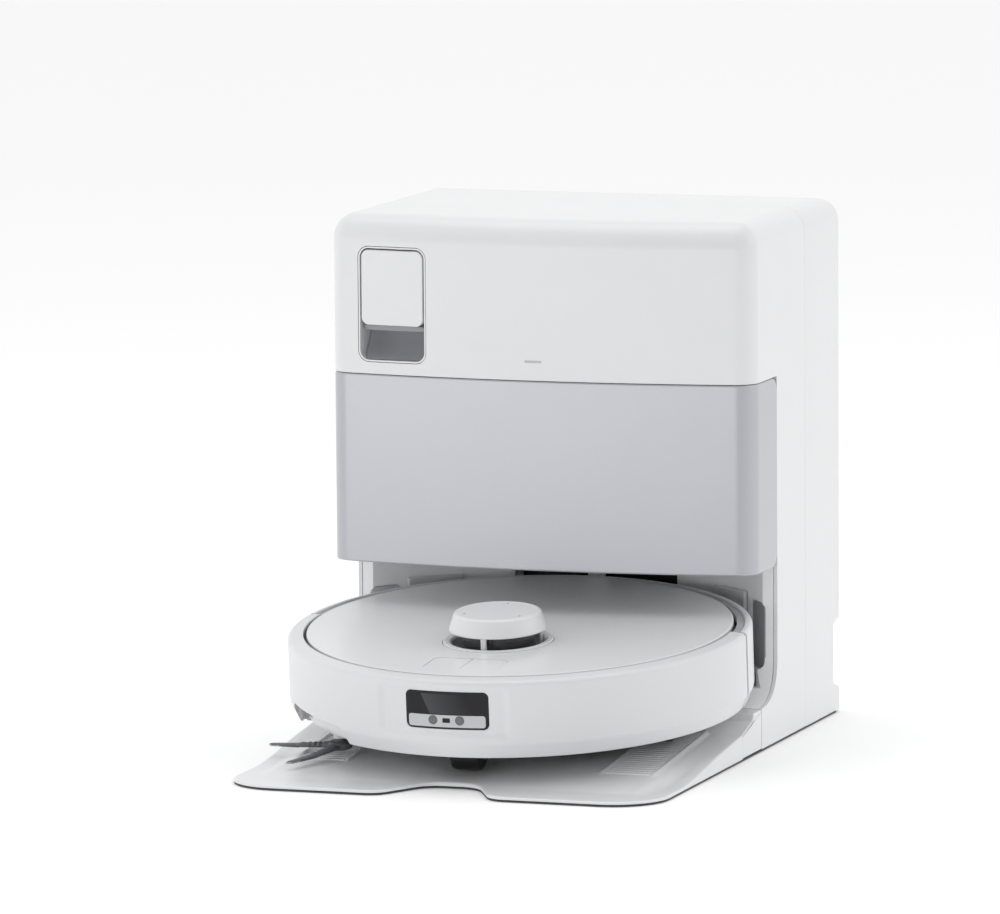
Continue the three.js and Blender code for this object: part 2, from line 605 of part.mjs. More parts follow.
function turretCup() {
  const { cupR } = TURRET;
  return turned([[0, 67.4], [cupR, 67.4], [cupR, 81.6], [cupR - 2, 82.4], [36, 81.6], [35.2, 80.4], [35.2, 70],
    [0, 70]], 0, TURRET.y, 40);
}

const turretRotor = () => turned([[0, 70.4], [25, 70.4], [25, 74], [28, 75], [28, 96], [0, 96]], 0, TURRET.y, 28);

function turretCap() {
  const { capR, capTopR, slotTop, top } = TURRET;
  const shell = turned([[30, slotTop], [capR - 1, slotTop], [capR, slotTop + 1.4], [capTopR + 1.2, top - 2],
    [capTopR - 2, top], [0, top], [0, top - 3], [29.4, top - 4]], 0, TURRET.y, 40);
  const posts = [-91, 29, 149].map((degrees) => {
    const angle = THREE.MathUtils.degToRad(degrees);
    const geometry = new THREE.BoxGeometry(3, 4.4, 19.4).translate(32.2, 0, 0).rotateZ(angle);
    return solid(geometry.translate(0, TURRET.y, 82));
  });
  return join(shell, ...posts);
}

const KEYS = { half: 29, front: -143, rear: -111 };

function keyOpening(grow = 0) {
  const { half, front, rear } = KEYS;
  return prismZ(roundedBox(-half - grow, half + grow, front - grow, rear + grow, 5, 4), 60, 100);
}

function key(side) {
  const slab = common(keyOpening(), block(-200, 200, -200, 0, 68.6, ROBOT.coverZ - 0.2));
  return common(slab, side < 0 ? block(-200, -0.2, -200, 0, 0, 100) : block(0.2, 200, -200, 0, 0, 100));
}

// ---- the robot's running gear --------------------------------------------------------------------------------------

function suspensionArm(side) {
  const x = side * (WHEEL.x - WHEEL.width / 2 - 3.4);
  const web = prismX(outline([[WHEEL.y - 9, 27, 8], [WHEEL.y + 8, 26, 6], [32, 34, 6], [32, 50, 6], [WHEEL.y - 9, 44, 8]], 3),
    x - 1.8, x + 1.8);
  const stub = side > 0 ? drumX(4, x, WHEEL.x + 7, WHEEL.y, WHEEL.radius, 20)
    : drumX(4, -WHEEL.x - 7, x, WHEEL.y, WHEEL.radius, 20);
  return join(web, stub);
}

function driveWheel(side) {
  const { radius, width, x, y } = WHEEL;
  const half = width / 2;
  const profile = [[4.4, -half], [radius - 1.5, -half], [radius, 1.5 - half], [radius, half - 1.5],
    [radius - 1.5, half], [radius - 9, half], [radius - 9, half - 4], [4.4, half - 4]];
  return turnedX(profile.map(([r, offset]) => [r, side * (x + offset)]), y, radius, 32);
}

function casterFork() {
  const { y, radius, width, trail } = CASTER;
  const plate = drum(20, 28.6, 34, 0, y, 28);
  const stem = drum(6, 33, 46, 0, y, 20);
  const ears = SIDES.map((side) => {
    const [low, high] = side > 0 ? [width / 2 + 0.6, width / 2 + 3] : [-width / 2 - 3, -width / 2 - 0.6];
    return prismX(outline([[y - 6, 30], [y + 9, 30], [y + trail + 5, radius - 4, 3], [y + trail - 5, radius - 4, 3]], 3), low, high);
  });
  return join(plate, stem, ...ears);
}

function casterWheel() {
  const { y, radius, width, trail } = CASTER;
  const half = width / 2;
  return turnedX([[0, -half], [radius - 3, -half], [radius, 4 - half], [radius, half - 4], [radius - 3, half], [0, half]],
    y + trail, radius, 32);
}

function mainBrush() {
  const lobes = 6;
  const points = [];
  for (let k = 0; k < lobes * 4; k += 1) {
    const radius = k % 4 === 0 ? BRUSH.radius : 12.5;
    const angle = (2 * Math.PI * (k - (k % 4 === 1 ? 0.6 : 0) + (k % 4 === 3 ? 0.6 : 0))) / (lobes * 4);
    points.push([BRUSH.y + radius * Math.cos(angle), BRUSH.z + radius * Math.sin(angle)]);
  }
  return prismX(outline(points), -BRUSH.half, BRUSH.half);
}

function brushGuard() {
  const frame = block(-BRUSH.half - 8, BRUSH.half + 8, BRUSH.y - 27, BRUSH.y + 27, 9, 13);
  return cut(frame, block(-BRUSH.half - 2, BRUSH.half + 2, BRUSH.y - 21.5, BRUSH.y + 21.5, 0, 20));
}

function sideBrush() {
  const { x, y, reach, armAngles } = SIDE_BRUSH;
  const arms = armAngles.map((degrees) => {
    const shape = outline([[4, -4], [reach * 0.55, -5], [reach, -1.6], [reach, 1.6], [reach * 0.55, 4], [4, 4]]);
    const geometry = extruded(shape, 2.4).rotateZ(THREE.MathUtils.degToRad(degrees));
    return solid(geometry.translate(x, y, 4));
  });
  return join(drum(9, 4, 9.5, x, y, 24), drum(4, 9, 12, x, y, 20), ...arms);
}

function sideBrushMotor() {
  const { x, y } = SIDE_BRUSH;
  return join(drum(5, 12.5, 23, x, y, 16), drum(12.5, 22, 40, x, y, 24), block(x - 11, x + 11, y, y + 34, 24, 40));
}

function mopCarriage() {
  const bar = block(-MOP.x - 16, MOP.x + 16, MOP.y - 14, MOP.y + 14, 34, 46);
  const shafts = SIDES.map((side) => drum(5, 26.5, 35, side * MOP.x, MOP.y, 20));
  return join(bar, ...shafts);
}

function mopPad(side) {
  const { x, y, radius, bottom, thick } = MOP;
  return join(
    turned([[0, bottom], [radius - 2, bottom], [radius, bottom + 2], [radius, bottom + thick - 2.5],
      [radius - 1.5, bottom + thick - 1.5], [0, bottom + thick]], side * x, y, 40),
    drum(5, bottom + thick - 1, 26.1, side * x, y, 16),
  );
}

const BIN = { half: 60, front: -6, rear: 42, bottom: 27, top: 75 };
const BLOWER = { y: 124, radius: 25, bottom: 28.5, top: 62, ductHalf: 14, ductFront: 44, ductBottom: 54.5 };
const BATTERY = { left: 28, right: 94, front: -126, rear: -80, bottom: 22, top: 60, cornerR: 4 };
const MAIN_BOARD = { half: 74, front: -74, rear: -22, bottom: 59.6, thick: 1.8 };

function dustbin() {
  const { half, front, rear, bottom, top } = BIN;
  const inside = block(-half + WALL, half - WALL, front + WALL, rear - WALL, bottom + WALL, top + 10);
  return cut(block(-half, half, front, rear, bottom, top), inside);
}

function blower() {
  const { y, radius, bottom, top, ductHalf, ductFront, ductBottom } = BLOWER;
  return join(drum(radius, bottom, top, 0, y, 32), block(-ductHalf, ductHalf, ductFront, y + 2, ductBottom, top));
}

function battery() {
  const { left, right, front, rear, bottom, top, cornerR } = BATTERY;
  return prismZ(roundedBox(left, right, front, rear, cornerR, 3), bottom, top);
}

function mainBoard() {
  const { half, front, rear, bottom, thick } = MAIN_BOARD;
  return block(-half, half, front, rear, bottom, bottom + thick);
}

// ---- assembly --------------------------------------------------------------------------------------------------------

const station = new THREE.Group();
const robot = new THREE.Group();
robot.position.copy(PARKED);
robot.rotation.x = PITCH;
const wash = new THREE.Group();
wash.position.copy(PARKED);
wash.rotation.x = PITCH;

function add(parent, name, body, [color, roughness, metalness]) {
  const { vertProperties, triVerts } = body.getMesh();
  const geometry = new THREE.BufferGeometry();
  geometry.setAttribute('position', new THREE.BufferAttribute(vertProperties, 3));
  geometry.setIndex(new THREE.BufferAttribute(triVerts, 1));
  const mesh = new THREE.Mesh(geometry, new THREE.MeshStandardMaterial({ color, roughness, metalness }));
  mesh.name = name;
  parent.add(mesh);
}

const sideName = (side) => (side < 0 ? 'left' : 'right');

add(station, 'front_shell', frontShell(), WHITE);
add(station, 'rear_cover', rearCover(), WHITE);
add(station, 'bay_shroud', bayShroud(), SATIN);
add(station, 'bay_back_wall', bayBackWall(), SATIN);
add(station, 'signal_window', signalWindow(), DARK);
add(station, 'signal_bracket', signalBracket(), WHITE);
add(station, 'base_tray', baseTray(), WHITE);
add(station, 'front_ramp', frontRamp(), WHITE);
add(station, 'floor_mat', floorMat(), RUBBER);
add(wash, 'wash_tray', washTray(), PALE);
for (const side of SIDES) {
  add(station, `${sideName(side)}_vent`, ventPlate(side), GRAPHITE);
  add(station, `${sideName(side)}_contact`, contactBlock(side), GRAPHITE);
  add(station, `${sideName(side)}_guide`, guidePad(side), GRAPHITE);
}

add(station, 'inner_frame', innerFrame(), PALE);
add(station, 'dust_cover', dustCover(), PANEL_GREY);
add(station, 'dust_bag', dustBag(), CLOTH);
add(station, 'bag_collar', bagCollar(), PALE);
add(station, 'suction_fan', suctionFan(), GRAPHITE);
add(station, 'detergent_drawer', detergentDrawer(), WHITE);
add(station, 'drawer_bezel', drawerBezel(), PALE);
add(station, 'finger_scoop', fingerScoop(), SILVER);
add(station, 'status_light', statusLight(), PALE);
add(station, 'wash_pump', washPump(), GRAPHITE);
add(station, 'drying_fan', dryingFan(), GRAPHITE);
add(station, 'control_board', controlBoard(), BOARD);
add(station, 'power_inlet', powerInlet(), RUBBER);
add(station, 'water_inlet', hoseTail(64, 47, 8), METAL);
add(station, 'drain_outlet', hoseTail(104, 47, 10), GRAPHITE);

add(robot, 'chassis', chassis(), PALE);
add(robot, 'rear_shell', rearShell(), WHITE);
add(robot, 'bumper', bumper(), WHITE);
add(robot, 'upper_deck', upperDeck(), SATIN);
add(robot, 'top_cover', topCover(), WHITE);
add(robot, 'camera_window', cameraWindow(), DARK);
add(robot, 'sensor_band', sensorBand(), PALE);
add(robot, 'turret_cup', turretCup(), WHITE);
add(robot, 'turret_rotor', turretRotor(), DARK);
add(robot, 'turret_cap', turretCap(), WHITE);
add(robot, 'power_key', key(-1), WHITE);
add(robot, 'dock_key', key(1), WHITE);
for (const side of SIDES) {
  add(robot, `${sideName(side)}_suspension_arm`, suspensionArm(side), GRAPHITE);
  add(robot, `${sideName(side)}_wheel`, driveWheel(side), RUBBER);
  add(robot, `${sideName(side)}_mop`, mopPad(side), CLOTH);
}
add(robot, 'caster_fork', casterFork(), PALE);
add(robot, 'caster_wheel', casterWheel(), RUBBER);
add(robot, 'main_brush', mainBrush(), RUBBER);
add(robot, 'brush_guard', brushGuard(), GRAPHITE);
add(robot, 'side_brush', sideBrush(), GRAPHITE);
add(robot, 'side_brush_motor', sideBrushMotor(), PALE);
add(robot, 'mop_carriage', mopCarriage(), GRAPHITE);
add(robot, 'dustbin', dustbin(), PALE);
add(robot, 'blower', blower(), GRAPHITE);
add(robot, 'battery', battery(), DARK);
add(robot, 'main_board', mainBoard(), BOARD);

const group = new THREE.Group();
group.add(station, robot, wash);

export default group;
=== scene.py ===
import json
import logging
import math
from collections.abc import Callable, Iterable, Sequence
from dataclasses import dataclass
from enum import Enum

import bmesh
import bpy
from mathutils import Matrix, Vector, noise


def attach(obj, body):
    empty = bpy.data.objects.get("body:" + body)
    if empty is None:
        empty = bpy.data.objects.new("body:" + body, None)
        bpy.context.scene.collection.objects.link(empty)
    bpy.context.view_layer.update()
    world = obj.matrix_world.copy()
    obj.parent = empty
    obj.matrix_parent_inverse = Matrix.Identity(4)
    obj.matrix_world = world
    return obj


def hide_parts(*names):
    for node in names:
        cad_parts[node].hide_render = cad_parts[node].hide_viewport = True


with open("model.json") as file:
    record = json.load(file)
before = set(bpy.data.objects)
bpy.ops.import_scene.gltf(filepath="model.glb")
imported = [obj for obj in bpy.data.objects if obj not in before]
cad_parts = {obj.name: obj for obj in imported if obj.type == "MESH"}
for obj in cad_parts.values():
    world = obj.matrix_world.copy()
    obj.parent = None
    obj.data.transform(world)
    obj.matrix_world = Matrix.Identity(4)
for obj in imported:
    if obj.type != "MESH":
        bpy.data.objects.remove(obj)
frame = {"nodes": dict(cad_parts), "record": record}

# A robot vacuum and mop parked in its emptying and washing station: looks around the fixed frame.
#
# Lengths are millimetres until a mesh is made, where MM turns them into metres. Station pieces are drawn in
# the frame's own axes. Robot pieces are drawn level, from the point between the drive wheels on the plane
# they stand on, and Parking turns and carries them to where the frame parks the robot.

LOG = logging.getLogger("robot_vacuum")
MM = 0.001
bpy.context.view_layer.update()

Corner = tuple[float, ...]
Flat = tuple[float, float]
Ring = list[Vector]
Piece = bpy.types.Object
Socket = bpy.types.NodeSocket


class Axis(Enum):
    """The axis that a prism's outline is raised along, with the directions its two coordinates run in."""

    X = ((0, 1, 0), (0, 0, 1), (1, 0, 0))
    Y = ((1, 0, 0), (0, 0, 1), (0, 1, 0))
    Z = ((1, 0, 0), (0, 1, 0), (0, 0, 1))


class Carve(Enum):
    """How one solid is worked with another."""

    CUT = "DIFFERENCE"
    JOIN = "UNION"
    KEEP = "INTERSECT"


class Side(Enum):
    """Left and right as seen from the front, with the sign of X."""

    LEFT = -1
    RIGHT = 1

    @property
    def word(self) -> str:
        """The side's name as it stands in node names."""
        return self.name.lower()


# ---- outlines ----


def rounded(corners: Iterable[Corner], steps: int = 8) -> list[Flat]:
    """An outline whose corners are rounded by arcs.

    Args:
        corners: (a, b) or (a, b, radius) for each corner, in order.
        steps: chords in each rounded corner.

    Returns:
        The outline's points.
    """
    turns = [(Vector((c[0], c[1])), c[2] if len(c) > 2 else 0.0) for c in corners]
    points: list[Flat] = []
    for i, (here, radius) in enumerate(turns):
        if radius <= 0:
            points.append((here.x, here.y))
            continue
        back = (turns[i - 1][0] - here).normalized()
        ahead = (turns[(i + 1) % len(turns)][0] - here).normalized()
        half = math.acos(max(-1.0, min(1.0, back.dot(ahead)))) / 2
        centre = here + (back + ahead).normalized() * (radius / math.sin(half))
        start = here + back * (radius / math.tan(half)) - centre
        end = here + ahead * (radius / math.tan(half)) - centre
        sweep = math.atan2(start.x * end.y - start.y * end.x, start.dot(end))
        for k in range(steps + 1):
            arm = Matrix.Rotation(sweep * k / steps, 2) @ start
            points.append((centre.x + arm.x, centre.y + arm.y))
    return points


def oblong(a0: float, a1: float, b0: float, b1: float, radius: float, steps: int = 8) -> list[Flat]:
    """A rectangle with rounded corners."""
    return rounded([(a0, b0, radius), (a1, b0, radius), (a1, b1, radius), (a0, b1, radius)], steps)


def circle(radius: float, a: float = 0.0, b: float = 0.0, count: int = 48) -> list[Flat]:
    """A circle about (a, b)."""
    turn = 2 * math.pi / count
    return [(a + radius * math.cos(turn * k), b + radius * math.sin(turn * k)) for k in range(count)]


def area_of(points: Sequence[Flat]) -> float:
    """The signed area inside an outline."""
    return sum(p[0] * q[1] - q[0] * p[1] for p, q in zip(points, [*points[1:], points[0]])) / 2


def inset(points: Sequence[Flat], depth: float) -> list[Flat]:
    """An outline moved inwards by depth, with mitred corners.

    Args:
        points: the outline.
        depth: how far in.

    Returns:
        The moved outline.
    """
    sign = 1 if area_of(points) > 0 else -1
    moved: list[Flat] = []
    for i, here in enumerate(points):
        before, after = points[i - 1], points[(i + 1) % len(points)]
        first = Vector((here[0] - before[0], here[1] - before[1])).normalized()
        second = Vector((after[0] - here[0], after[1] - here[1])).normalized()
        normal = Vector((-(first.y + second.y), first.x + second.x))
        normal = normal.normalized() if normal.length > 1e-9 else Vector((-first.y, first.x))
        reach = depth / max(0.35, normal.dot(Vector((-first.y, first.x))))
        moved.append((here[0] + sign * normal.x * reach, here[1] + sign * normal.y * reach))
    return moved


def swept(start: Flat, pull: Flat, end: Flat, steps: int = 24) -> list[Flat]:
    """A curve from start to end that leaves and arrives towards pull.

    Args:
        start, end: its ends.
        pull: where the lines along its ends meet.
        steps: chords in it.

    Returns:
        The curve's points.
    """
    first, middle, last = Vector(start), Vector(pull), Vector(end)
    points: list[Flat] = []
    for k in range(steps + 1):
        t = k / steps
        point = first * (1 - t) ** 2 + middle * 2 * t * (1 - t) + last * t**2
        points.append((point.x, point.y))
    return points


def smooth(value: float) -> float:
    """Eases from 0 to 1 as value goes from 0 to 1."""
    held = min(1.0, max(0.0, value))
    return held * held * (3 - 2 * held)


# ---- solids ----


def new_object(name: str, mesh: bpy.types.Mesh) -> Piece:
    """A linked object at the origin that holds mesh.

    Args:
        name: the name.
        mesh: its mesh.

    Returns:
        The object.
    """
    made = bpy.data.objects.new(name, mesh)
    bpy.context.scene.collection.objects.link(made)
    return made


def from_bmesh(name: str, draft: bmesh.types.BMesh) -> Piece:
    """A closed solid from a draft: doubles merged and faces turned outwards.

    Args:
        name: the name.
        draft: the draft, which is freed.

    Returns:
        The object.
    """
    bmesh.ops.remove_doubles(draft, verts=draft.verts, dist=1e-6)
    bmesh.ops.dissolve_degenerate(draft, dist=1e-7, edges=draft.edges)
    bmesh.ops.recalc_face_normals(draft, faces=draft.faces)
    mesh = bpy.data.meshes.new(name)
    draft.to_mesh(mesh)
    draft.free()
    return new_object(name, mesh)


def loft(name: str, rings: Sequence[Ring], around: bool = False) -> Piece:
    """A solid through rings of equally many points.

    Args:
        name: the object's name.
        rings: the closed rings, in millimetres.
        around: whether the last ring joins the first, as in a full turn. Otherwise both ends are capped.

    Returns:
        The solid.
    """
    draft = bmesh.new()
    rows = [[draft.verts.new(point * MM) for point in ring] for ring in rings]
    size = len(rows[0])
    for i in range(len(rows) if around else len(rows) - 1):
        first, second = rows[i], rows[(i + 1) % len(rows)]
        for k in range(size):
            after = (k + 1) % size
            draft.faces.new((first[k], first[after], second[after], second[k]))
    if not around:
        draft.faces.new(rows[0])
        draft.faces.new(rows[-1])
    return from_bmesh(name, draft)


def placed(points: Sequence[Flat], height: float, axis: Axis) -> Ring:
    """An outline's points at a height along an axis."""
    across, along, up = (Vector(direction) for direction in axis.value)
    return [across * a + along * b + up * height for a, b in points]


def prism(
    name: str, points: Sequence[Flat], low: float, high: float,
    axis: Axis = Axis.Z, edge: float = 0.0, steps: int = 3,
) -> Piece:
    """An outline raised from low to high, with both rims rounded by edge.

    Args:
        name: the name.
        points: the outline.
        low, high: where it starts and ends.
        axis: the direction it is raised in.
        edge: the rims' radius.
        steps: chords in each rim.

    Returns:
        The object.
    """
    if edge <= 0:
        return loft(name, [placed(points, low, axis), placed(points, high, axis)])
    rings = []
    for k in range(steps + 1):
        turn = math.pi / 2 * k / steps
        rings.append(placed(inset(points, edge * (1 - math.sin(turn))), low + edge * (1 - math.cos(turn)),
                            axis))
    mirrored = [placed(inset(points, edge * (1 - math.sin(math.pi / 2 * k / steps))),
                       high - edge * (1 - math.cos(math.pi / 2 * k / steps)), axis)
                for k in range(steps, -1, -1)]
    return loft(name, rings + mirrored)


def box(name: str, low: Corner, high: Corner, edge: float = 0.0) -> Piece:
    """A block between two corners, with its twelve edges rounded.

    Args:
        name: the name.
        low, high: opposite corners.
        edge: the edges' radius.

    Returns:
        The object.
    """
    outline = [(low[0], low[1]), (high[0], low[1]), (high[0], high[1]), (low[0], high[1])]
    if edge > 0:
        outline = oblong(low[0], high[0], low[1], high[1], edge, 3)
    return prism(name, outline, low[2], high[2], Axis.Z, edge)


@dataclass(frozen=True)
class Spin:
    """An upright or level line that profiles are turned about."""

    x: float = 0.0
    y: float = 0.0
    z: float = 0.0
    axis: Axis = Axis.Z
    segments: int = 96

    def point(self, radius: float, along: float, angle: float) -> Vector:
        """A point at a radius and a distance along the line, at an angle about it.

        Args:
            radius: off the line.
            along: along the line.
            angle: in radians.

        Returns:
            The point.
        """
        across, up, line = (Vector(direction) for direction in self.axis.value)
        base = Vector((self.x, self.y, self.z))
        return base + across * (radius * math.cos(angle)) + up * (radius * math.sin(angle)) + line * along

    def turned(
        self, name: str, profile: Sequence[Flat], start: float = 0.0, end: float = 360.0,
    ) -> Piece:
        """A closed (radius, along) profile turned about the line, from start to end in degrees.

        Args:
            name: the name.
            profile: the section.
            start, end: in degrees.

        Returns:
            The object.
        """
        whole = end - start >= 360
        count = max(3, round(self.segments * (end - start) / 360))
        angles = [math.radians(start + (end - start) * k / count)
                  for k in range(count if whole else count + 1)]
        rings = [[self.point(radius, along, angle) for radius, along in profile] for angle in angles]
        return loft(name, rings, around=whole)


def carve(target: Piece, kind: Carve, *others: Piece) -> Piece:
    """Works target with other solids, which are used up, and returns it.

    Args:
        target: the solid worked on.
        kind: how.
        others: the solids it is worked with.

    Returns:
        The target.
    """
    for other in others:
        modifier = target.modifiers.new("carve", "BOOLEAN")
        modifier.operation = kind.value
        modifier.solver = "MANIFOLD"
        modifier.object = other
        bake(target)
        discard(other)
    return target


def bake(target: Piece) -> Piece:
    """Turns a mesh object's modifiers into its mesh.

    Args:
        target: the object.

    Returns:
        The same object.
    """
    bpy.context.view_layer.update()
    graph = bpy.context.evaluated_depsgraph_get()
    mesh = bpy.data.meshes.new_from_object(target.evaluated_get(graph), depsgraph=graph)
    target.modifiers.clear()
    old = target.data
    target.data = mesh
    bpy.data.meshes.remove(old)
    return target


def soften(
    target: Piece, width: float, where: Callable[[Vector], bool] | None = None,
    steps: int = 2, sharp: float = 35.0,
) -> Piece:
    """Rounds the sharp edges of a carved solid.

    Args:
        target: the solid.
        width: the rounding's width.
        where: picks edges by their midpoint, in millimetres. None takes them all.
        steps: chords across the rounding.
        sharp: the angle in degrees between faces above which an edge is sharp.

    Returns:
        The solid.
    """
    draft = bmesh.new()
    draft.from_mesh(target.data)
    bmesh.ops.remove_doubles(draft, verts=draft.verts, dist=2e-6)
    bmesh.ops.dissolve_limit(draft, angle_limit=math.radians(0.4), verts=draft.verts, edges=draft.edges)
    limit = math.radians(sharp)
    picked = []
    for edge in draft.edges:
        if len(edge.link_faces) != 2 or edge.calc_face_angle(0) < limit:
            continue
        middle = (edge.verts[0].co + edge.verts[1].co) / (2 * MM)
        if where is None or where(middle):
            picked.append(edge)
    bmesh.ops.bevel(draft, geom=picked, offset=width * MM, segments=steps, profile=0.5,
                    affect="EDGES", clamp_overlap=True)
    draft.to_mesh(target.data)
    draft.free()
    return target


def join_loose(name: str, parts: Sequence[Piece]) -> Piece:
    """One object that holds several separate closed solids.

    Args:
        name: the name.
        parts: the solids, which are used up.

    Returns:
        The object.
    """
    draft = bmesh.new()
    for part in parts:
        draft.from_mesh(part.data)
        discard(part)
    mesh = bpy.data.meshes.new(name)
    draft.to_mesh(mesh)
    draft.free()
    return new_object(name, mesh)


def discard(target: Piece) -> None:
    """Removes an object and its mesh.

    Args:
        target: the object.
    """
    old = target.data
    bpy.data.objects.remove(target)
    bpy.data.meshes.remove(old)


def move(target: Piece, matrix: Matrix) -> Piece:
    """Carries an object's mesh by a matrix in metres."""
    target.data.transform(matrix)
    return target


# ---- finishes ----


class Nodes:
    """A small writer of shader trees."""

    def __init__(self, name: str) -> None:
        """Starts a material that holds only an output and a principled shader.

        Args:
            name: the name.
        """
        self.material = bpy.data.materials.new(name)
        self.material.use_nodes = True
        self.tree = self.material.node_tree
        self.tree.nodes.clear()
        self.output = self.tree.nodes.new("ShaderNodeOutputMaterial")
        self.shader = self.tree.nodes.new("ShaderNodeBsdfPrincipled")
        self.link(self.shader.outputs[0], self.output.inputs[0])

    def link(self, source: Socket, target: Socket) -> None:
        """Joins two sockets."""
        self.tree.links.new(source, target)

    def put(self, **values: object) -> None:
        """Sets the shader's own sockets, with _ for a space."""
        for key, value in values.items():
            self.shader.inputs[key.replace("_", " ")].default_value = value

    def where(self, scale: tuple[float, float, float] = (1, 1, 1)) -> Socket:
        """Object coordinates, stretched by scale.

        Args:
            scale: along X, Y and Z.

        Returns:
            The output.
        """
        place = self.tree.nodes.new("ShaderNodeTexCoord")
        mapping = self.tree.nodes.new("ShaderNodeMapping")
        mapping.inputs["Scale"].default_value = scale
        self.link(place.outputs["Object"], mapping.inputs["Vector"])
        return mapping.outputs["Vector"]

    def noise(self, scale: float, detail: float = 3, stretch: tuple[float, float, float] = (1, 1, 1),
              roughness: float = 0.5) -> Socket:
        """A noise pattern, from 0 to 1.

        Args:
            scale: how fine.
            detail: octaves.
            stretch: along X, Y and Z.
            roughness: weight of the fine octaves.

        Returns:
            The output.
        """
        noise = self.tree.nodes.new("ShaderNodeTexNoise")
        noise.inputs["Scale"].default_value = scale
        noise.inputs["Detail"].default_value = detail
        noise.inputs["Roughness"].default_value = roughness
        self.link(self.where(stretch), noise.inputs["Vector"])
        return noise.outputs[0]

    def cells(self, scale: float) -> Socket:
        """Distances inside a field of cells.

        Args:
            scale: how fine.

        Returns:
            The output.
        """
        cells = self.tree.nodes.new("ShaderNodeTexVoronoi")
        cells.inputs["Scale"].default_value = scale
        self.link(self.where(), cells.inputs["Vector"])
        return cells.outputs["Distance"]

    def between(self, factor: Socket, low: float, high: float) -> Socket:
        """A 0 to 1 pattern turned into numbers from low to high.

        Args:
            factor: the pattern.
            low, high: the two ends.

        Returns:
            The output.
        """
        spread = self.tree.nodes.new("ShaderNodeMapRange")
        spread.inputs["To Min"].default_value = low
        spread.inputs["To Max"].default_value = high
        self.link(factor, spread.inputs["Value"])
        return spread.outputs[0]

    def blend(self, factor: Socket, first: Sequence[float],
              second: Sequence[float]) -> Socket:
        """A colour between two, by a pattern.

        Args:
            factor: the pattern.
            first, second: the two colours.

        Returns:
            The output.
        """
        mix = self.tree.nodes.new("ShaderNodeMix")
        mix.data_type = "RGBA"
        mix.inputs["A"].default_value = (*first, 1)
        mix.inputs["B"].default_value = (*second, 1)
        self.link(factor, mix.inputs["Factor"])
        return mix.outputs["Result"]

    def bump(self, height: Socket, strength: float, depth: float) -> None:
        """Adds relief, depth in millimetres, over any relief already there.

        Args:
            height: the relief.
            strength: from 0 to 1.
            depth: in millimetres.
        """
        bump = self.tree.nodes.new("ShaderNodeBump")
        bump.inputs["Strength"].default_value = strength
        bump.inputs["Distance"].default_value = depth * MM
        self.link(height, bump.inputs["Height"])
        earlier = self.shader.inputs["Normal"].links
        if earlier:
            self.link(earlier[0].from_socket, bump.inputs["Normal"])
        self.link(bump.outputs[0], self.shader.inputs["Normal"])


def shade(colour: Sequence[float], by: float) -> tuple[float, float, float]:
    """A colour made lighter or darker by a factor."""
    red, green, blue = (min(1.0, max(0.0, channel * by)) for channel in colour[:3])
    return red, green, blue


@dataclass(frozen=True)
class Plastic:
    """A moulded plastic with a fine spark-eroded grain, faint flow mottling and uneven gloss."""

    name: str
    colour: tuple[float, float, float]
    roughness: float = 0.35
    grain: float = 0.012
    coat: float = 0.0
    metallic: float = 0.0
    mottle: float = 0.025
    scatter: float = 0.0

    def dress(self) -> bpy.types.Material:
        """The finish as a material.

        Returns:
            The material.
        """
        nodes = Nodes(self.name)
        flow = nodes.noise(9, 4)
        nodes.link(nodes.blend(flow, shade(self.colour, 1 - self.mottle),
                               shade(self.colour, 1 + self.mottle)),
                   nodes.shader.inputs["Base Color"])
        nodes.link(nodes.between(nodes.noise(38, 5), self.roughness * 0.86, self.roughness * 1.16),
                   nodes.shader.inputs["Roughness"])
        nodes.bump(nodes.noise(1700, 2), 0.35, self.grain)
        nodes.bump(nodes.noise(46, 2), 0.10, 0.05)
        nodes.put(Metallic=self.metallic, Coat_Weight=self.coat, Coat_Roughness=0.12,
                  Subsurface_Weight=self.scatter, Subsurface_Scale=0.002)
        return nodes.material


@dataclass(frozen=True)
class Pearl:
    """A silver-grey lacquer with fine metallic flake under a satin coat."""

    name: str
    colour: tuple[float, float, float]
    metallic: float = 0.45
    roughness: float = 0.3
    coat: float = 0.25

    def dress(self) -> bpy.types.Material:
        """The finish as a material.

        Returns:
            The material.
        """
        nodes = Nodes(self.name)
        flake = nodes.cells(2600)
        nodes.link(nodes.blend(flake, shade(self.colour, 1.02), shade(self.colour, 0.98)),
                   nodes.shader.inputs["Base Color"])
        nodes.link(nodes.between(nodes.noise(30, 4), self.roughness * 0.95, self.roughness * 1.08),
                   nodes.shader.inputs["Roughness"])
        nodes.put(Metallic=self.metallic, Coat_Weight=self.coat, Coat_Roughness=0.2)
        return nodes.material


@dataclass(frozen=True)
class Rubber:
    """A dark, dry rubber with a pebbled skin and dusty high spots."""

    name: str
    colour: tuple[float, float, float] = (0.018, 0.018, 0.019)
    roughness: float = 0.72

    def dress(self) -> bpy.types.Material:
        """The finish as a material.

        Returns:
            The material.
        """
        nodes = Nodes(self.name)
        nodes.link(nodes.blend(nodes.noise(70, 5), self.colour, shade(self.colour, 1.9)),
                   nodes.shader.inputs["Base Color"])
        nodes.link(nodes.between(nodes.noise(120, 4), self.roughness * 0.85, min(1.0, self.roughness * 1.2)),
                   nodes.shader.inputs["Roughness"])
        nodes.bump(nodes.cells(1300), 0.4, 0.05)
        return nodes.material


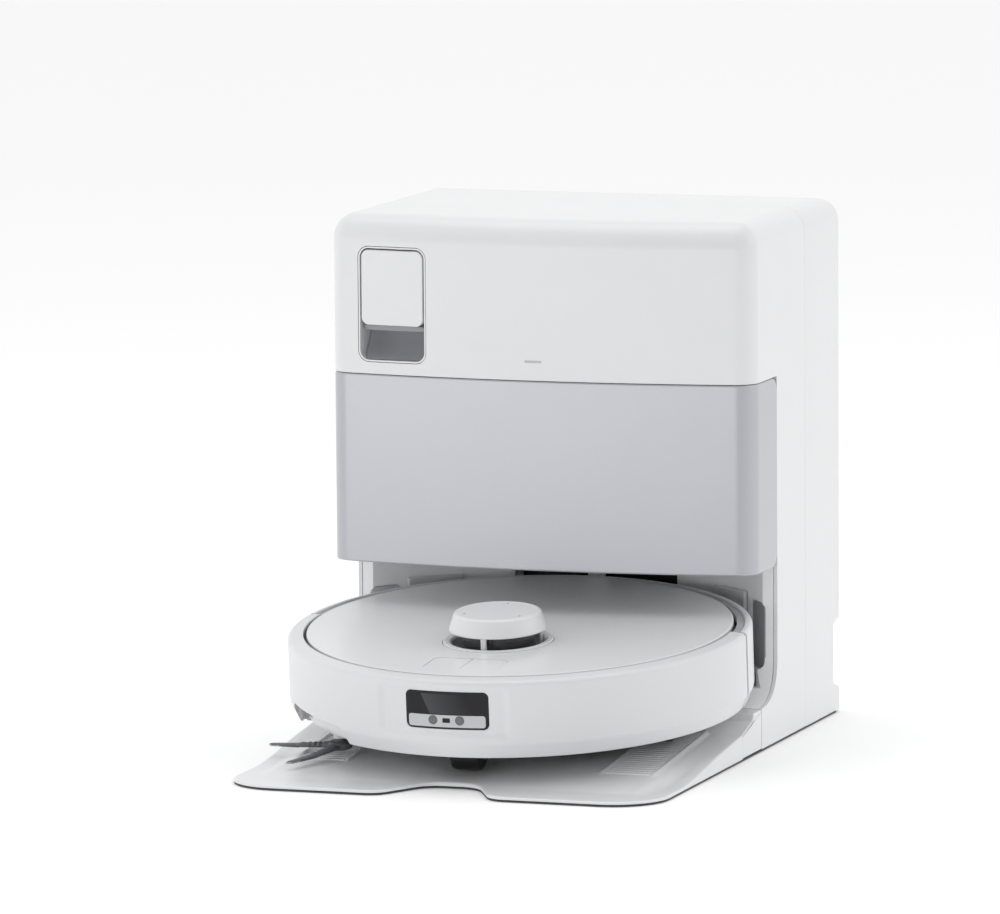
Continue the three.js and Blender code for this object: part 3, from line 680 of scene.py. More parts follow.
@dataclass(frozen=True)
class Fibre:
    """A fibrous cloth, such as non-woven fleece or a short pile, with stray lighter strands."""

    name: str
    colour: tuple[float, float, float]
    strand: float = 900.0
    depth: float = 0.25
    sheen: float = 0.3

    def dress(self) -> bpy.types.Material:
        """The finish as a material.

        Returns:
            The material.
        """
        nodes = Nodes(self.name)
        strands = nodes.noise(self.strand, 6, (1, 0.35, 1), 0.7)
        nodes.link(nodes.blend(strands, shade(self.colour, 0.8), shade(self.colour, 1.15)),
                   nodes.shader.inputs["Base Color"])
        nodes.bump(strands, 0.7, self.depth)
        nodes.bump(nodes.noise(60, 3), 0.3, 0.6)
        nodes.put(Roughness=0.95, Sheen_Weight=self.sheen, Sheen_Roughness=0.5)
        return nodes.material


@dataclass(frozen=True)
class Polished:
    """A polished dark window with a faint dust and finger haze in its gloss."""

    name: str
    colour: tuple[float, float, float] = (0.012, 0.012, 0.014)
    roughness: float = 0.06
    coat: float = 0.6
    specular: float = 0.3

    def dress(self) -> bpy.types.Material:
        """The finish as a material.

        Returns:
            The material.
        """
        nodes = Nodes(self.name)
        haze = nodes.noise(55, 5)
        nodes.link(nodes.blend(haze, self.colour, shade(self.colour, 1.35)),
                   nodes.shader.inputs["Base Color"])
        nodes.link(nodes.between(haze, self.roughness * 0.7, self.roughness * 1.8),
                   nodes.shader.inputs["Roughness"])
        nodes.put(Coat_Weight=self.coat, Coat_Roughness=0.03, Specular_IOR_Level=self.specular)
        return nodes.material


@dataclass(frozen=True)
class Tinted:
    """A dark glass with a painted reflection: a paler band beyond a slanted line, fading away to the right.
    """

    name: str
    dark: tuple[float, float, float] = (0.010, 0.010, 0.012)
    pale: tuple[float, float, float] = (0.062, 0.064, 0.070)
    line: float = -8.0
    fade: float = 34.0
    slant: float = 0.45
    level: float = 46.0

    def dress(self) -> bpy.types.Material:
        """The finish as a material.

        Returns:
            The material.
        """
        nodes = Nodes(self.name)
        apart = nodes.tree.nodes.new("ShaderNodeSeparateXYZ")
        nodes.link(nodes.where(), apart.inputs[0])
        lean = nodes.tree.nodes.new("ShaderNodeMath")
        lean.operation = "MULTIPLY_ADD"
        lean.inputs[1].default_value = self.slant
        nodes.link(apart.outputs["Z"], lean.inputs[0])
        nodes.link(apart.outputs["X"], lean.inputs[2])
        start = (self.line + self.slant * self.level) * MM
        begun, left = (nodes.tree.nodes.new("ShaderNodeMapRange") for _ in range(2))
        begun.inputs["From Min"].default_value = start
        begun.inputs["From Max"].default_value = start + 0.8 * MM
        left.inputs["From Min"].default_value = start + self.fade * MM
        left.inputs["From Max"].default_value = start
        product = nodes.tree.nodes.new("ShaderNodeMath")
        product.operation = "MULTIPLY"
        for index, spread in enumerate((begun, left)):
            nodes.link(lean.outputs[0], spread.inputs["Value"])
            nodes.link(spread.outputs[0], product.inputs[index])
        # The paler colour beyond the slanted line is a painted reflection.
        nodes.link(nodes.blend(product.outputs[0], self.dark, self.pale), nodes.shader.inputs["Base Color"])
        nodes.put(Roughness=0.07, Specular_IOR_Level=0.3)
        return nodes.material


@dataclass(frozen=True)
class Metal:
    """A brushed metal with fine drawn lines."""

    name: str
    colour: tuple[float, float, float] = (0.62, 0.62, 0.63)
    roughness: float = 0.3

    def dress(self) -> bpy.types.Material:
        """The finish as a material.

        Returns:
            The material.
        """
        nodes = Nodes(self.name)
        lines = nodes.noise(900, 3, (1, 1, 0.05))
        nodes.link(nodes.blend(lines, shade(self.colour, 0.88), shade(self.colour, 1.08)),
                   nodes.shader.inputs["Base Color"])
        nodes.link(nodes.between(lines, self.roughness * 0.8, self.roughness * 1.3),
                   nodes.shader.inputs["Roughness"])
        nodes.bump(lines, 0.2, 0.02)
        nodes.put(Metallic=1.0)
        return nodes.material


@dataclass(frozen=True)
class Board:
    """A green circuit board with copper traces under its solder mask."""

    name: str
    colour: tuple[float, float, float] = (0.012, 0.11, 0.05)

    def dress(self) -> bpy.types.Material:
        """The finish as a material.

        Returns:
            The material.
        """
        nodes = Nodes(self.name)
        traces = nodes.noise(240, 0, (1, 0.12, 0.12))
        nodes.link(nodes.blend(traces, self.colour, shade(self.colour, 2.4)),
                   nodes.shader.inputs["Base Color"])
        nodes.bump(traces, 0.4, 0.04)
        nodes.put(Roughness=0.38)
        return nodes.material


SHELL_WHITE = (0.80, 0.805, 0.815)
FINISHES = {
    finish.name: finish
    for finish in (
        Plastic("shell_white", SHELL_WHITE, 0.30, coat=0.12, scatter=0.03),
        Plastic("front_white", (0.745, 0.755, 0.77), 0.34, coat=0.08, scatter=0.03),
        Plastic("satin_white", (0.80, 0.805, 0.81), 0.45, grain=0.02),
        # Painted fill light: the bay white is paler than the shell white to stand in for light the bay's
        # hollow misses.
        Plastic("bay_white", (0.93, 0.935, 0.94), 0.5, grain=0.02),
        Plastic("vent_grey", (0.34, 0.345, 0.355), 0.5, grain=0.02),
        Plastic("guide_grey", (0.62, 0.625, 0.635), 0.5, grain=0.02),
        # The notch seal's own rubber grey, and painted shade for the ring in the rear channel.
        Plastic("rim_grey", (0.40, 0.405, 0.415), 0.42),
        Plastic("pale_plastic", (0.55, 0.56, 0.575), 0.5, grain=0.02),
        Pearl("panel_pearl", (0.475, 0.49, 0.52)),
        Pearl("silver_lacquer", (0.60, 0.61, 0.65), 0.4, 0.3, 0.1),
        # Painted shade: the drawer lip's dark grey stands for the shadow under the white plate.
        Plastic("lip_grey", (0.30, 0.31, 0.33), 0.4),
        Plastic("graphite", (0.115, 0.118, 0.122), 0.55, grain=0.03),
        Plastic("grey_pad", (0.30, 0.305, 0.315), 0.55, grain=0.03),
        Plastic("black_plastic", (0.012, 0.012, 0.013), 0.35),
        Polished("dark_window", coat=0.0),
        # The window glass carries a painted reflection: a paler slanted band.
        Tinted("smoked_glass"),
        Polished("lens_glass", (0.10, 0.102, 0.11), 0.12, 0.6, 0.5),
        Plastic("rotor_grey", (0.055, 0.056, 0.062), 0.28),
        Rubber("tyre_rubber"),
        Rubber("soft_rubber", (0.03, 0.03, 0.032), 0.6),
        Rubber("bristle_grey", (0.085, 0.088, 0.095), 0.5),
        Rubber("bristle_tip", (0.30, 0.31, 0.32), 0.5),
        Fibre("fleece", (0.62, 0.63, 0.65)),
        Fibre("mop_pile", (0.36, 0.38, 0.42), 500, 0.6, 0.5),
        Metal("brushed_steel"),
        Board("circuit_green"),
    )
}
_DRESSED: dict[str, bpy.types.Material] = {}


def dressed(name: str) -> bpy.types.Material:
    """The material of a finish, made once.

    Args:
        name: the finish's name.

    Returns:
        The material.
    """
    if name not in _DRESSED:
        _DRESSED[name] = FINISHES[name].dress()
    return _DRESSED[name]


# ---- handing pieces over ----


@dataclass(frozen=True)
class Part:
    """What a finished piece is: its body, finish, record slot and the frame nodes it stands for."""

    name: str
    body: str
    finish: str
    slot: str
    nodes: tuple[str, ...] = ()
    smooth: float = 38.0


def hand_over(target: Piece, part: Part, matrix: Matrix | None = None) -> Piece:
    """Shades, dresses and places a solid, and hooks it to the frame.

    Args:
        target: the solid, drawn in its own axes.
        part: what it becomes.
        matrix: carries it from its own axes to the frame's.

    Returns:
        The finished piece.
    """
    if matrix is not None:
        move(target, matrix)
    target.name = part.name
    target.data.name = part.name
    target.data.materials.clear()
    target.data.materials.append(dressed(part.finish))
    for face in target.data.polygons:
        face.use_smooth = True
        face.material_index = 0
    target.data.set_sharp_from_angle(angle=math.radians(part.smooth))
    weighted = target.modifiers.new("weighted", "WEIGHTED_NORMAL")
    weighted.keep_sharp = True
    bake(target)
    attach(target, part.body)
    if part.nodes:
        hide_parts(*part.nodes)
    LOG.info("%s rides on %s: %d faces", part.name, part.body, len(target.data.polygons))
    return target


# ---- repeated pieces, by geometry nodes ----


class Pattern:
    """A geometry nodes tree that repeats a small solid, made into one plain mesh."""

    def __init__(self, name: str) -> None:
        """Starts an empty tree.

        Args:
            name: the name.
        """
        self.tree = bpy.data.node_groups.new(name, "GeometryNodeTree")
        self.tree.interface.new_socket("Geometry", in_out="OUTPUT", socket_type="NodeSocketGeometry")
        self.into = self.tree.nodes.new("NodeGroupInput")
        self.out = self.tree.nodes.new("NodeGroupOutput")
        self.values: dict[str, object] = {}

    def given(self, name: str, kind: str, value: object) -> Socket:
        """A named input with its value.

        Args:
            name: the name.
            kind: the socket type.
            value: what it is set to.

        Returns:
            The input's socket.
        """
        socket = self.tree.interface.new_socket(name, in_out="INPUT", socket_type=kind)
        self.values[socket.identifier] = value
        return self.into.outputs[name]

    def node(self, kind: str, **settings: object) -> bpy.types.Node:
        """A node with its properties set.

        Args:
            kind: the node type.
            settings: its properties.

        Returns:
            The node.
        """
        made = self.tree.nodes.new(kind)
        for key, value in settings.items():
            setattr(made, key, value)
        return made

    def link(self, source: Socket, target: Socket) -> None:
        """Joins two sockets."""
        self.tree.links.new(source, target)

    def close(self, geometry: Socket, finish: str) -> None:
        """Ends the tree in real geometry with its material.

        Args:
            geometry: the last geometry.
            finish: the finish's name.
        """
        real = self.node("GeometryNodeRealizeInstances")
        coat = self.node("GeometryNodeSetMaterial")
        coat.inputs["Material"].default_value = dressed(finish)
        self.link(geometry, real.inputs["Geometry"])
        self.link(real.outputs["Geometry"], coat.inputs["Geometry"])
        self.link(coat.outputs["Geometry"], self.out.inputs[0])

    def grow(self, name: str, seed_mesh: bpy.types.Mesh | None = None) -> Piece:
        """Runs the tree once on a seed mesh and returns a plain object.

        Args:
            name: the name.
            seed_mesh: the mesh it starts from.

        Returns:
            The object.
        """
        holder = new_object(name, seed_mesh or bpy.data.meshes.new(name))
        modifier = holder.modifiers.new("pattern", "NODES")
        modifier.node_group = self.tree
        for identifier, value in self.values.items():
            modifier[identifier] = value
        return bake(holder)


def row_of(name: str, unit: Piece, start: Vector, step: Vector, count: int,
           finish: str) -> Piece:
    """Repeats a small solid in a straight row.

    Args:
        name: the row's name.
        unit: the solid, drawn about the origin. It is used up.
        start: where the first one goes, in millimetres.
        step: from each to the next.
        count: how many there are.
        finish: the finish they take.

    Returns:
        The row as one plain mesh.
    """
    pattern = Pattern(name)
    amount = pattern.given("Count", "NodeSocketInt", count)
    first = pattern.given("Start", "NodeSocketVector", tuple(start * MM))
    offset = pattern.given("Step", "NodeSocketVector", tuple(step * MM))
    solid = pattern.given("Unit", "NodeSocketObject", unit)
    line = pattern.node("GeometryNodeMeshLine")
    pattern.link(amount, line.inputs["Count"])
    pattern.link(first, line.inputs["Start Location"])
    pattern.link(offset, line.inputs["Offset"])
    info = pattern.node("GeometryNodeObjectInfo")
    pattern.link(solid, info.inputs["Object"])
    copies = pattern.node("GeometryNodeInstanceOnPoints")
    pattern.link(line.outputs["Mesh"], copies.inputs["Points"])
    pattern.link(info.outputs["Geometry"], copies.inputs["Instance"])
    pattern.close(copies.outputs["Instances"], finish)
    made = pattern.grow(name)
    bpy.data.objects.remove(unit)
    return made


def wheel_of(name: str, unit: Piece, spin: Spin, count: int, finish: str) -> Piece:
    """Repeats a small solid round a line, turned to face it each time. The unit is drawn at angle 0.

    Args:
        name: the name.
        unit: the solid, which is used up.
        spin: the line.
        count: how many.
        finish: the finish's name.

    Returns:
        The object.
    """
    pattern = Pattern(name)
    amount = pattern.given("Count", "NodeSocketInt", count)
    solid = pattern.given("Unit", "NodeSocketObject", unit)
    turn = pattern.given("Turn", "NodeSocketFloat", 2 * math.pi / count)
    line = pattern.node("GeometryNodeMeshLine")
    line.inputs["Offset"].default_value = (0, 0, 0)
    pattern.link(amount, line.inputs["Count"])
    index = pattern.node("GeometryNodeInputIndex")
    angle = pattern.node("ShaderNodeMath", operation="MULTIPLY")
    pattern.link(index.outputs[0], angle.inputs[0])
    pattern.link(turn, angle.inputs[1])
    about = pattern.node("FunctionNodeAxisAngleToRotation")
    about.inputs["Axis"].default_value = (0, 0, 1)
    pattern.link(angle.outputs[0], about.inputs["Angle"])
    info = pattern.node("GeometryNodeObjectInfo")
    pattern.link(solid, info.inputs["Object"])
    copies = pattern.node("GeometryNodeInstanceOnPoints")
    pattern.link(line.outputs["Mesh"], copies.inputs["Points"])
    pattern.link(info.outputs["Geometry"], copies.inputs["Instance"])
    pattern.link(about.outputs[0], copies.inputs["Rotation"])
    pattern.close(copies.outputs["Instances"], finish)
    made = pattern.grow(name)
    bpy.data.objects.remove(unit)
    across, up, line_axis = (Vector(direction) for direction in spin.axis.value)
    basis = Matrix((across, up, line_axis)).transposed().to_4x4()
    basis.translation = Vector((spin.x, spin.y, spin.z)) * MM
    return move(made, basis)


# ---- frame nodes with softened edges ----

BODY_OF = {node: body for body, nodes in frame["record"]["behaviour"]["bodies"].items() for node in nodes}


@dataclass(frozen=True)
class Refit:
    """A frame node whose shape stays and whose moulded edges are rounded."""

    node: str
    finish: str
    slot: str
    width: float = 0.5
    steps: int = 2

    def make(self) -> Piece:
        """The rounded copy, standing for the node.

        Returns:
            The copy.
        """
        mesh = frame["nodes"][self.node].data.copy()
        for layer in list(mesh.uv_layers):
            mesh.uv_layers.remove(layer)
        made = new_object(f"{self.node}_moulding", mesh)
        soften(made, self.width, steps=self.steps)
        return hand_over(made, Part(f"{self.node}_moulding", BODY_OF[self.node], self.finish, self.slot,
                                    (self.node,)))


@dataclass(frozen=True)
class Parking:
    """Where the robot stands in the station, and how far the ramp pitches it."""

    contact: Corner = (0.0, -33.2, 20.0)
    pitch: float = 5.1

    @property
    def matrix(self) -> Matrix:
        """Carries level robot pieces to their parked place."""
        return Matrix.Translation(Vector(self.contact) * MM) @ Matrix.Rotation(math.radians(self.pitch), 4,
                                                                               "X")

    def deck(self, y: float, above: float = 0.0) -> float:
        """The height of the standing plane at y, in the frame's axes."""
        slope = math.radians(self.pitch)
        return self.contact[2] + (y - self.contact[1]) * math.tan(slope) + above / math.cos(slope)


# ---- the station ----


@dataclass
class Tower:
    """The station's housing: a box with a bowed front, rounded corners and a soft crown."""

    half: float = 170.0
    rear: float = 243.6
    height: float = 405.0
    corner_y: float = 11.3
    bulge: float = 16.9
    corner: float = 18.0
    rear_corner: float = 8.0
    crown_side: float = 18.0
    crown_front: float = 20.0
    crown_rear: float = 24.0
    floor: float = 1.6
    wall: float = 3.0
    seam: float = 146.0
    gap: float = 0.4
    panel_top: float = 282.7
    foot: Flat = (30.5, 32.6)
    foot_pull: Flat = (71.0, 33.5)
    leg: Flat = (71.7, 66.0)
    bow: int = 28
    steps: int = 12

    def plan(self, side: float = 0.0, front: float | None = None, rear: float | None = None) -> list[Flat]:
        """The housing's outline seen from above, moved inwards on its sides, front and rear.

        Args:
            side, front, rear: how far inwards.

        Returns:
            The outline.
        """
        front = side if front is None else front
        rear = side if rear is None else rear
        radius = (self.half**2 + self.bulge**2) / (2 * self.bulge)
        centre = self.corner_y - self.bulge + radius
        half = self.half - side

        def bowed(x: float) -> float:
            """The bowed front's y at x."""
            return centre - math.sqrt((radius - front) ** 2 - x**2)

        corner = max(0.4, self.corner - side)
        back = max(0.4, self.rear_corner - side)
        reach = half - self.corner - 2
        corners: list[Corner] = [(-half, bowed(half), corner)]
        for k in range(self.bow + 1):
            x = -reach + 2 * reach * k / self.bow
            corners.append((x, bowed(x)))
        corners += [(half, bowed(half), corner), (half, self.rear - rear, back),
                    (-half, self.rear - rear, back)]
        return rounded(corners, self.steps)

    def crown_radii(self) -> list[float]:
        """The crown's rounding at each point of the plan.

        Returns:
            One radius for each point.
        """
        side, front, rear = self.crown_side, self.crown_front, self.crown_rear

        def ease(start: float, end: float) -> list[float]:
            """Radii that go evenly from start to end round a corner."""
            return [start + (end - start) * k / self.steps for k in range(self.steps + 1)]

        return [*ease(side, front), *[front] * (self.bow + 1), *ease(front, side), *ease(side, rear),
                *ease(rear, side)]

    def body(self, name: str, depth: float = 0.0) -> Piece:
        """The whole housing as one solid, moved inwards by depth.

        Args:
            name: the name.
            depth: how far inwards.

        Returns:
            The solid.
        """
        rings = [placed(self.plan(depth), self.floor + (depth and -6), Axis.Z)]
        radii = self.crown_radii()
        for k in range(self.steps + 1):
            turn = math.pi / 2 * k / self.steps
            away = 1 - math.cos(turn)
            flat = self.plan(depth + (self.crown_side - depth) * away,
                             depth + (self.crown_front - depth) * away,
                             depth + (self.crown_rear - depth) * away)
            rings.append([
                Vector((x, y, self.height - depth - (radius - depth) * (1 - math.sin(turn))))
                for (x, y), radius in zip(flat, radii)
            ])
        return loft(name, rings)

    def shell(self, name: str) -> Piece:
        """The housing's skin, hollow and open below, with the recess low at the back.

        Args:
            name: the name.

        Returns:
            The skin.
        """
        back = rounded([(270, 17), (243.6, 17, 1.5), (221, 24, 3), (221, 71, 3), (243.6, 76, 1.5), (270, 76)])
        inside = [(270, 14), (240.6, 14), (218, 21), (218, 74), (240.6, 79), (270, 79)]
        outer = carve(self.body(name), Carve.CUT, prism("recess", back, -200, 200, Axis.X))
        inner = carve(self.body("hollow", self.wall), Carve.CUT, prism("recess", inside, -200, 200, Axis.X))
        return carve(outer, Carve.CUT, inner)

    def mouth(self) -> Piece:
        """What the robot's bay takes out of the front: straight legs above a hollow curve into a low foot.

        Returns:
            The cutter.
        """
        top = self.panel_top + self.gap
        return prism("mouth", [(-60, -10), (self.foot[0], -10), *swept(self.foot, self.foot_pull, self.leg),
                               (self.leg[0], top), (-60, top)], -200, 200, Axis.X)

    def front(self, drawer: "Drawer") -> Piece:
        """The front shell.

        Args:
            drawer: the drawer it leaves room for.

        Returns:
            The shell.
        """
        made = self.shell("front_shell_skin")
        carve(made, Carve.CUT, box("behind", (-200, self.seam - self.gap / 2, -20), (200, 300, 500)),
              box("below", (-166, 0, -20), (166, 300, 30)), self.mouth(), drawer.hole("hole"),
              prism("light", oblong(-6.9, 6.9, 296.6, 298.4, 0.85), -30, 20, Axis.Y))
        soften(made, 1.1, lambda p: p.z < self.panel_top + 1 and p.y < 90 and abs(p.x) > 160, 3)
        soften(made, 0.7, lambda p: abs(p.z - self.panel_top) < 1 and p.y < 90 and abs(p.x) < 172, 2, 60)
        soften(made, 0.6, lambda p: abs(p.y - self.seam) < 0.5, 2)
        return hand_over(made, Part("front_shell_skin", "station", "shell_white", "white_shell",
                                    ("front_shell",)))

    def back(self) -> Piece:
        """The rear cover.

        Returns:
            The cover.
        """
        made = self.shell("rear_cover_skin")
        carve(made, Carve.CUT, box("before", (-200, -60, -20), (200, self.seam + self.gap / 2, 500)),
              box("floor", (-167, 0, -20), (167, 240.6, 6)),
              box("inlet", (-119.4, 200, 35.6), (-88.6, 260, 58.4)))
        soften(made, 0.6, lambda p: abs(p.y - self.seam) < 0.5, 2)
        soften(made, 1.2, lambda p: p.y > 215 and 10 < p.z < 80, 3, 12)
        return hand_over(made, Part("rear_cover_skin", "station", "shell_white", "white_shell",
                                    ("rear_cover",)))


@dataclass
class Panel:
    """The pearl-grey dust cover that wraps the front and both flanks."""

    tower: Tower
    bottom: float = 137.0
    top: float = 282.7
    reach: float = 71.4
    corner: float = 12.0
    flange: float = 15.0

    def build(self) -> Piece:
        """The cover, shaped, dressed and hooked up.

        Returns:
            The cover.
        """
        wall = self.tower.wall
        made = prism("dust_cover_skin", self.tower.plan(), self.bottom, self.top, Axis.Z, 1.4, 4)
        carve(made, Carve.CUT,
              prism("inside", self.tower.plan(wall), self.bottom + wall, self.top - wall),
              prism("channel", self.tower.plan(self.flange), self.bottom - 5, self.top + 5))
        carve(made, Carve.KEEP, prism("flank", rounded([
            (-60, self.bottom - 1), (self.reach, self.bottom - 1), (self.reach, self.top + 1),
            (-60, self.top + 1)]), -200, 200, Axis.X))
        carve(made, Carve.KEEP, prism("corners", rounded([
            (-60, self.bottom), (self.reach, self.bottom, self.corner), (self.reach, self.top, self.corner),
            (-60, self.top)], 12), -200, 200, Axis.X))
        soften(made, 0.9, lambda p: p.y > 50, 3)
        return hand_over(made, Part("dust_cover_skin", "dust_cover", "panel_pearl", "panel_grey",
                                    ("dust_cover",)))


@dataclass
class Drawer:
    """The detergent drawer, its double bezel and the silver finger scoop."""

    tower: Tower
    left: float = -145.2
    right: float = -87.3
    bottom: float = 292.0
    top: float = 381.4
    corner: float = 9.0
    split: float = 320.7

    def outline(self, shrink: float) -> list[Flat]:
        """The opening's outline, moved inwards by shrink."""
        return oblong(self.left + shrink, self.right - shrink, self.bottom + shrink, self.top - shrink,
                      self.corner - shrink, 10)

    def hole(self, name: str, shrink: float = 0.0, start: float = -30, end: float = 60) -> Piece:
        """The opening as a solid that runs front to back."""
        return prism(name, self.outline(shrink), start, end, Axis.Y)

    def flush(self) -> Piece:
        """A block whose front is the housing's bowed front."""
        return prism("flush", self.tower.plan(), 200, 420)

    def build(self) -> None:
        """All the drawer's pieces, shaped, dressed and hooked up."""
        gap = self.tower.gap
        bezel = carve(self.hole("drawer_bezel_rim", gap, -30, 38), Carve.CUT,
                      self.hole("bore", gap + 1.4, -40, 60))
        carve(bezel, Carve.KEEP, self.flush())
        soften(bezel, 0.45, lambda p: p.y < 20, 3, 50)
        hand_over(bezel, Part("drawer_bezel_rim", "station", "shell_white", "pale_plastic",
                              ("drawer_bezel",)))
        # The lip is white like the plate; its dark grey colour is painted shade for the shadow under the
        # plate.
        lip = prism("drawer_lip", oblong(self.left + 3.4, self.right - 3.4, self.split - 4.4,
                                         self.split - 0.2, 1.6, 5),
                    -30, 16, Axis.Y)
        carve(lip, Carve.KEEP, prism("behind", self.tower.plan(4.5), 200, 420))
        soften(lip, 0.8, lambda p: p.y < 14, 3, 50)
        hand_over(lip, Part("drawer_lip", "detergent_drawer", "lip_grey", "pale_plastic"))

        plate = prism("drawer_front_plate",
                      oblong(self.left + 2.9, self.right - 2.9, self.split, self.top - 2.9,
                             self.corner - 3, 10), -30, 16, Axis.Y)
        carve(plate, Carve.KEEP, self.flush())
        soften(plate, 1.8, lambda p: p.y < 14, 5, 50)
        hand_over(plate, Part("drawer_front_plate", "detergent_drawer", "shell_white", "white_shell",
                              ("detergent_drawer",)))
        bottle = prism("detergent_bottle",
                       oblong(self.left + 5.5, self.right - 5.5, self.split + 3, self.top - 5.5,
                              8), 15.5, 125, Axis.Y, 4, 4)
        hand_over(bottle, Part("detergent_bottle", "detergent_drawer", "pale_plastic", "pale_plastic"))
        cap = Spin((self.left + self.right) / 2, 0, (self.split + self.top) / 2, Axis.Y, 48).turned(
            "bottle_filler", [(0, 124.5), (14, 124.5), (14, 127), (12.6, 129), (11, 129.6), (0, 129.6)])
        hand_over(cap, Part("bottle_filler", "detergent_drawer", "grey_pad", "pale_plastic"))

        curve = swept((33, self.split), (27, self.bottom + 4), (4.0, self.bottom + 2.0))
        bowl = prism("finger_scoop_bowl", [(4.0, self.bottom), (38, self.bottom), (38, self.split), *curve],
                     -160, -60, Axis.X)
        carve(bowl, Carve.KEEP, self.hole("inside", gap + 1.8, -40, 60))
        carve(bowl, Carve.KEEP, self.flush())
        soften(bowl, 0.6, lambda p: p.y < 12, 3, 50)
        hand_over(bowl, Part("finger_scoop_bowl", "station", "silver_lacquer", "silver_trim",
                             ("finger_scoop",)))


@dataclass
class Ramp:
    """The front ramp: two ribbed wheel tracks between ridges, on soft sloping shoulders."""

    parking: Parking
    half: float = 170.0
    front: float = -243.6
    rear: float = -19.3
    bottom: float = 1.6
    corner: float = 42.0
    track: tuple[float, float] = (103.0, 139.0)
    ridge: float = 4.0
    track_front: float = -151.0
    rib_pitch: float = 6.0
    shoulders: tuple[Flat, ...] = ((-250.0, 3.5), (-160.0, 3.5), (-126.3, 7.0), (-81.3, 13.5), (-19.3, 20.1))

    def path(self) -> list[Flat]:
        """The ramp's front edge from its left flank to its right, round both corners and the notch.

        Returns:
            The edge's points.
        """
        notch = self.front + 46
        points = rounded([
            (-self.half, self.rear), (-self.half, self.front, self.corner), (-44, self.front, 18),
            (-20, notch, 22), (20, notch, 22), (44, self.front, 18), (self.half, self.front, self.corner),
            (self.half, self.rear)], 18)[1:-1]
        filled: list[Flat] = []
        for first, second in zip(points, points[1:]):
            count = max(1, round(abs(second[0] - first[0]) / 1.4))
            filled += [(first[0] + (second[0] - first[0]) * k / count,
                        first[1] + (second[1] - first[1]) * k / count)
                       for k in range(count)]
        return [*filled, points[-1]]

    def shoulder(self, y: float) -> float:
        """The shoulders' height, a smooth curve through their sizes.

        Args:
            y: the place from front to back.

        Returns:
            The height.
        """
        places = self.shoulders
        for (y0, z0), (y1, z1) in zip(places, places[1:]):
            if y <= y1:
                return z0 + (z1 - z0) * (y - y0) / (y1 - y0)
        return places[-1][1]

    def height(self, x: float, y: float) -> float:
        """The top surface's height.

        Args:
            x, y: the place.

        Returns:
            The height.
        """
        across = abs(x)
        soft = sum(self.shoulder(y + step)
                   for step in (-9, -4.5, 0, 4.5, 9)) / 5 if y < -40 else self.shoulder(y)
        inner, outer = self.track
        level = -1.0
        begun = smooth((y - self.track_front + 2) / 5)
        for edge in (inner - self.ridge, outer):
            rise = smooth((across - edge + 0.9) / 2.2) * smooth((edge + self.ridge + 0.9 - across) / 2.2)
            level += 1.8 * rise * begun
        deck = self.parking.deck(y, level)
        fade = smooth((outer + self.ridge + 15 - across) / 15)
        return max(soft, soft + (deck - soft) * fade) if deck > soft else soft

    def build(self) -> None:
        """The ramp and its ribs, shaped, dressed and hooked up."""
        draft = bmesh.new()
        path = self.path()
        depths = [0.0, 0.25, 0.7, 1.3, 2.0, 3.2]
        rows = 84
        tops, lows = [], []
        for index, (x, edge) in enumerate(path):
            before, after = path[max(0, index - 1)], path[min(len(path) - 1, index + 1)]
            slope = Vector((after[0] - before[0], after[1] - before[1]))
            lean = abs(slope.x) / max(1e-6, slope.length)
            places = [edge + d for d in depths]
            places += [places[-1] + (self.rear - places[-1]) * k / rows for k in range(1, rows + 1)]
            column, under = [], []
            for y in places:
                side = min(self.half - abs(x), max(0.0, (y - edge) * lean))
                top = self.height(x, y)
                radius = min(1.9, top - self.bottom)
                if side < radius:
                    top += -radius + math.sqrt(max(0.0, radius**2 - (radius - side) ** 2))
                column.append(draft.verts.new(Vector((x, y, top)) * MM))
                under.append(draft.verts.new(Vector((x, y, self.bottom)) * MM))
            tops.append(column)
            lows.append(under)
        for i in range(len(tops) - 1):
            for k in range(len(tops[0]) - 1):
                draft.faces.new((tops[i][k], tops[i + 1][k], tops[i + 1][k + 1], tops[i][k + 1]))
                draft.faces.new((lows[i][k], lows[i][k + 1], lows[i + 1][k + 1], lows[i + 1][k]))
            for k in (0, len(tops[0]) - 1):
                draft.faces.new((tops[i][k], lows[i][k], lows[i + 1][k], tops[i + 1][k]))
        for i in (0, len(tops) - 1):
            for k in range(len(tops[0]) - 1):
                draft.faces.new((tops[i][k], tops[i][k + 1], lows[i][k + 1], lows[i][k]))
        made = from_bmesh("ramp_deck", draft)
        hand_over(made, Part("ramp_deck", "station", "shell_white", "white_shell", ("front_ramp",),
                             smooth=50))

        inner, outer = self.track
        start = self.track_front + 3
        count = int((self.rear - 1.5 - start) / self.rib_pitch) + 1
        slope = math.radians(self.parking.pitch)
        step = Vector((0, self.rib_pitch, self.rib_pitch * math.tan(slope)))
        for side in Side:
            half = (outer - inner) / 2 - 0.6
            unit = prism("rib", rounded([(-1.5, -0.9), (1.5, -0.9), (1.5, 0.6, 0.8), (-1.5, 0.6, 0.8)], 4),
                         -half, half, Axis.X)
            middle = side.value * (inner + outer) / 2
            first = Vector((middle, start, self.parking.deck(start, -0.75)))
            rib = row_of(f"{side.word}_track_ribs", unit, first, step, count, "shell_white")
            hand_over(rib, Part(f"{side.word}_track_ribs", "station", "shell_white", "white_shell"))


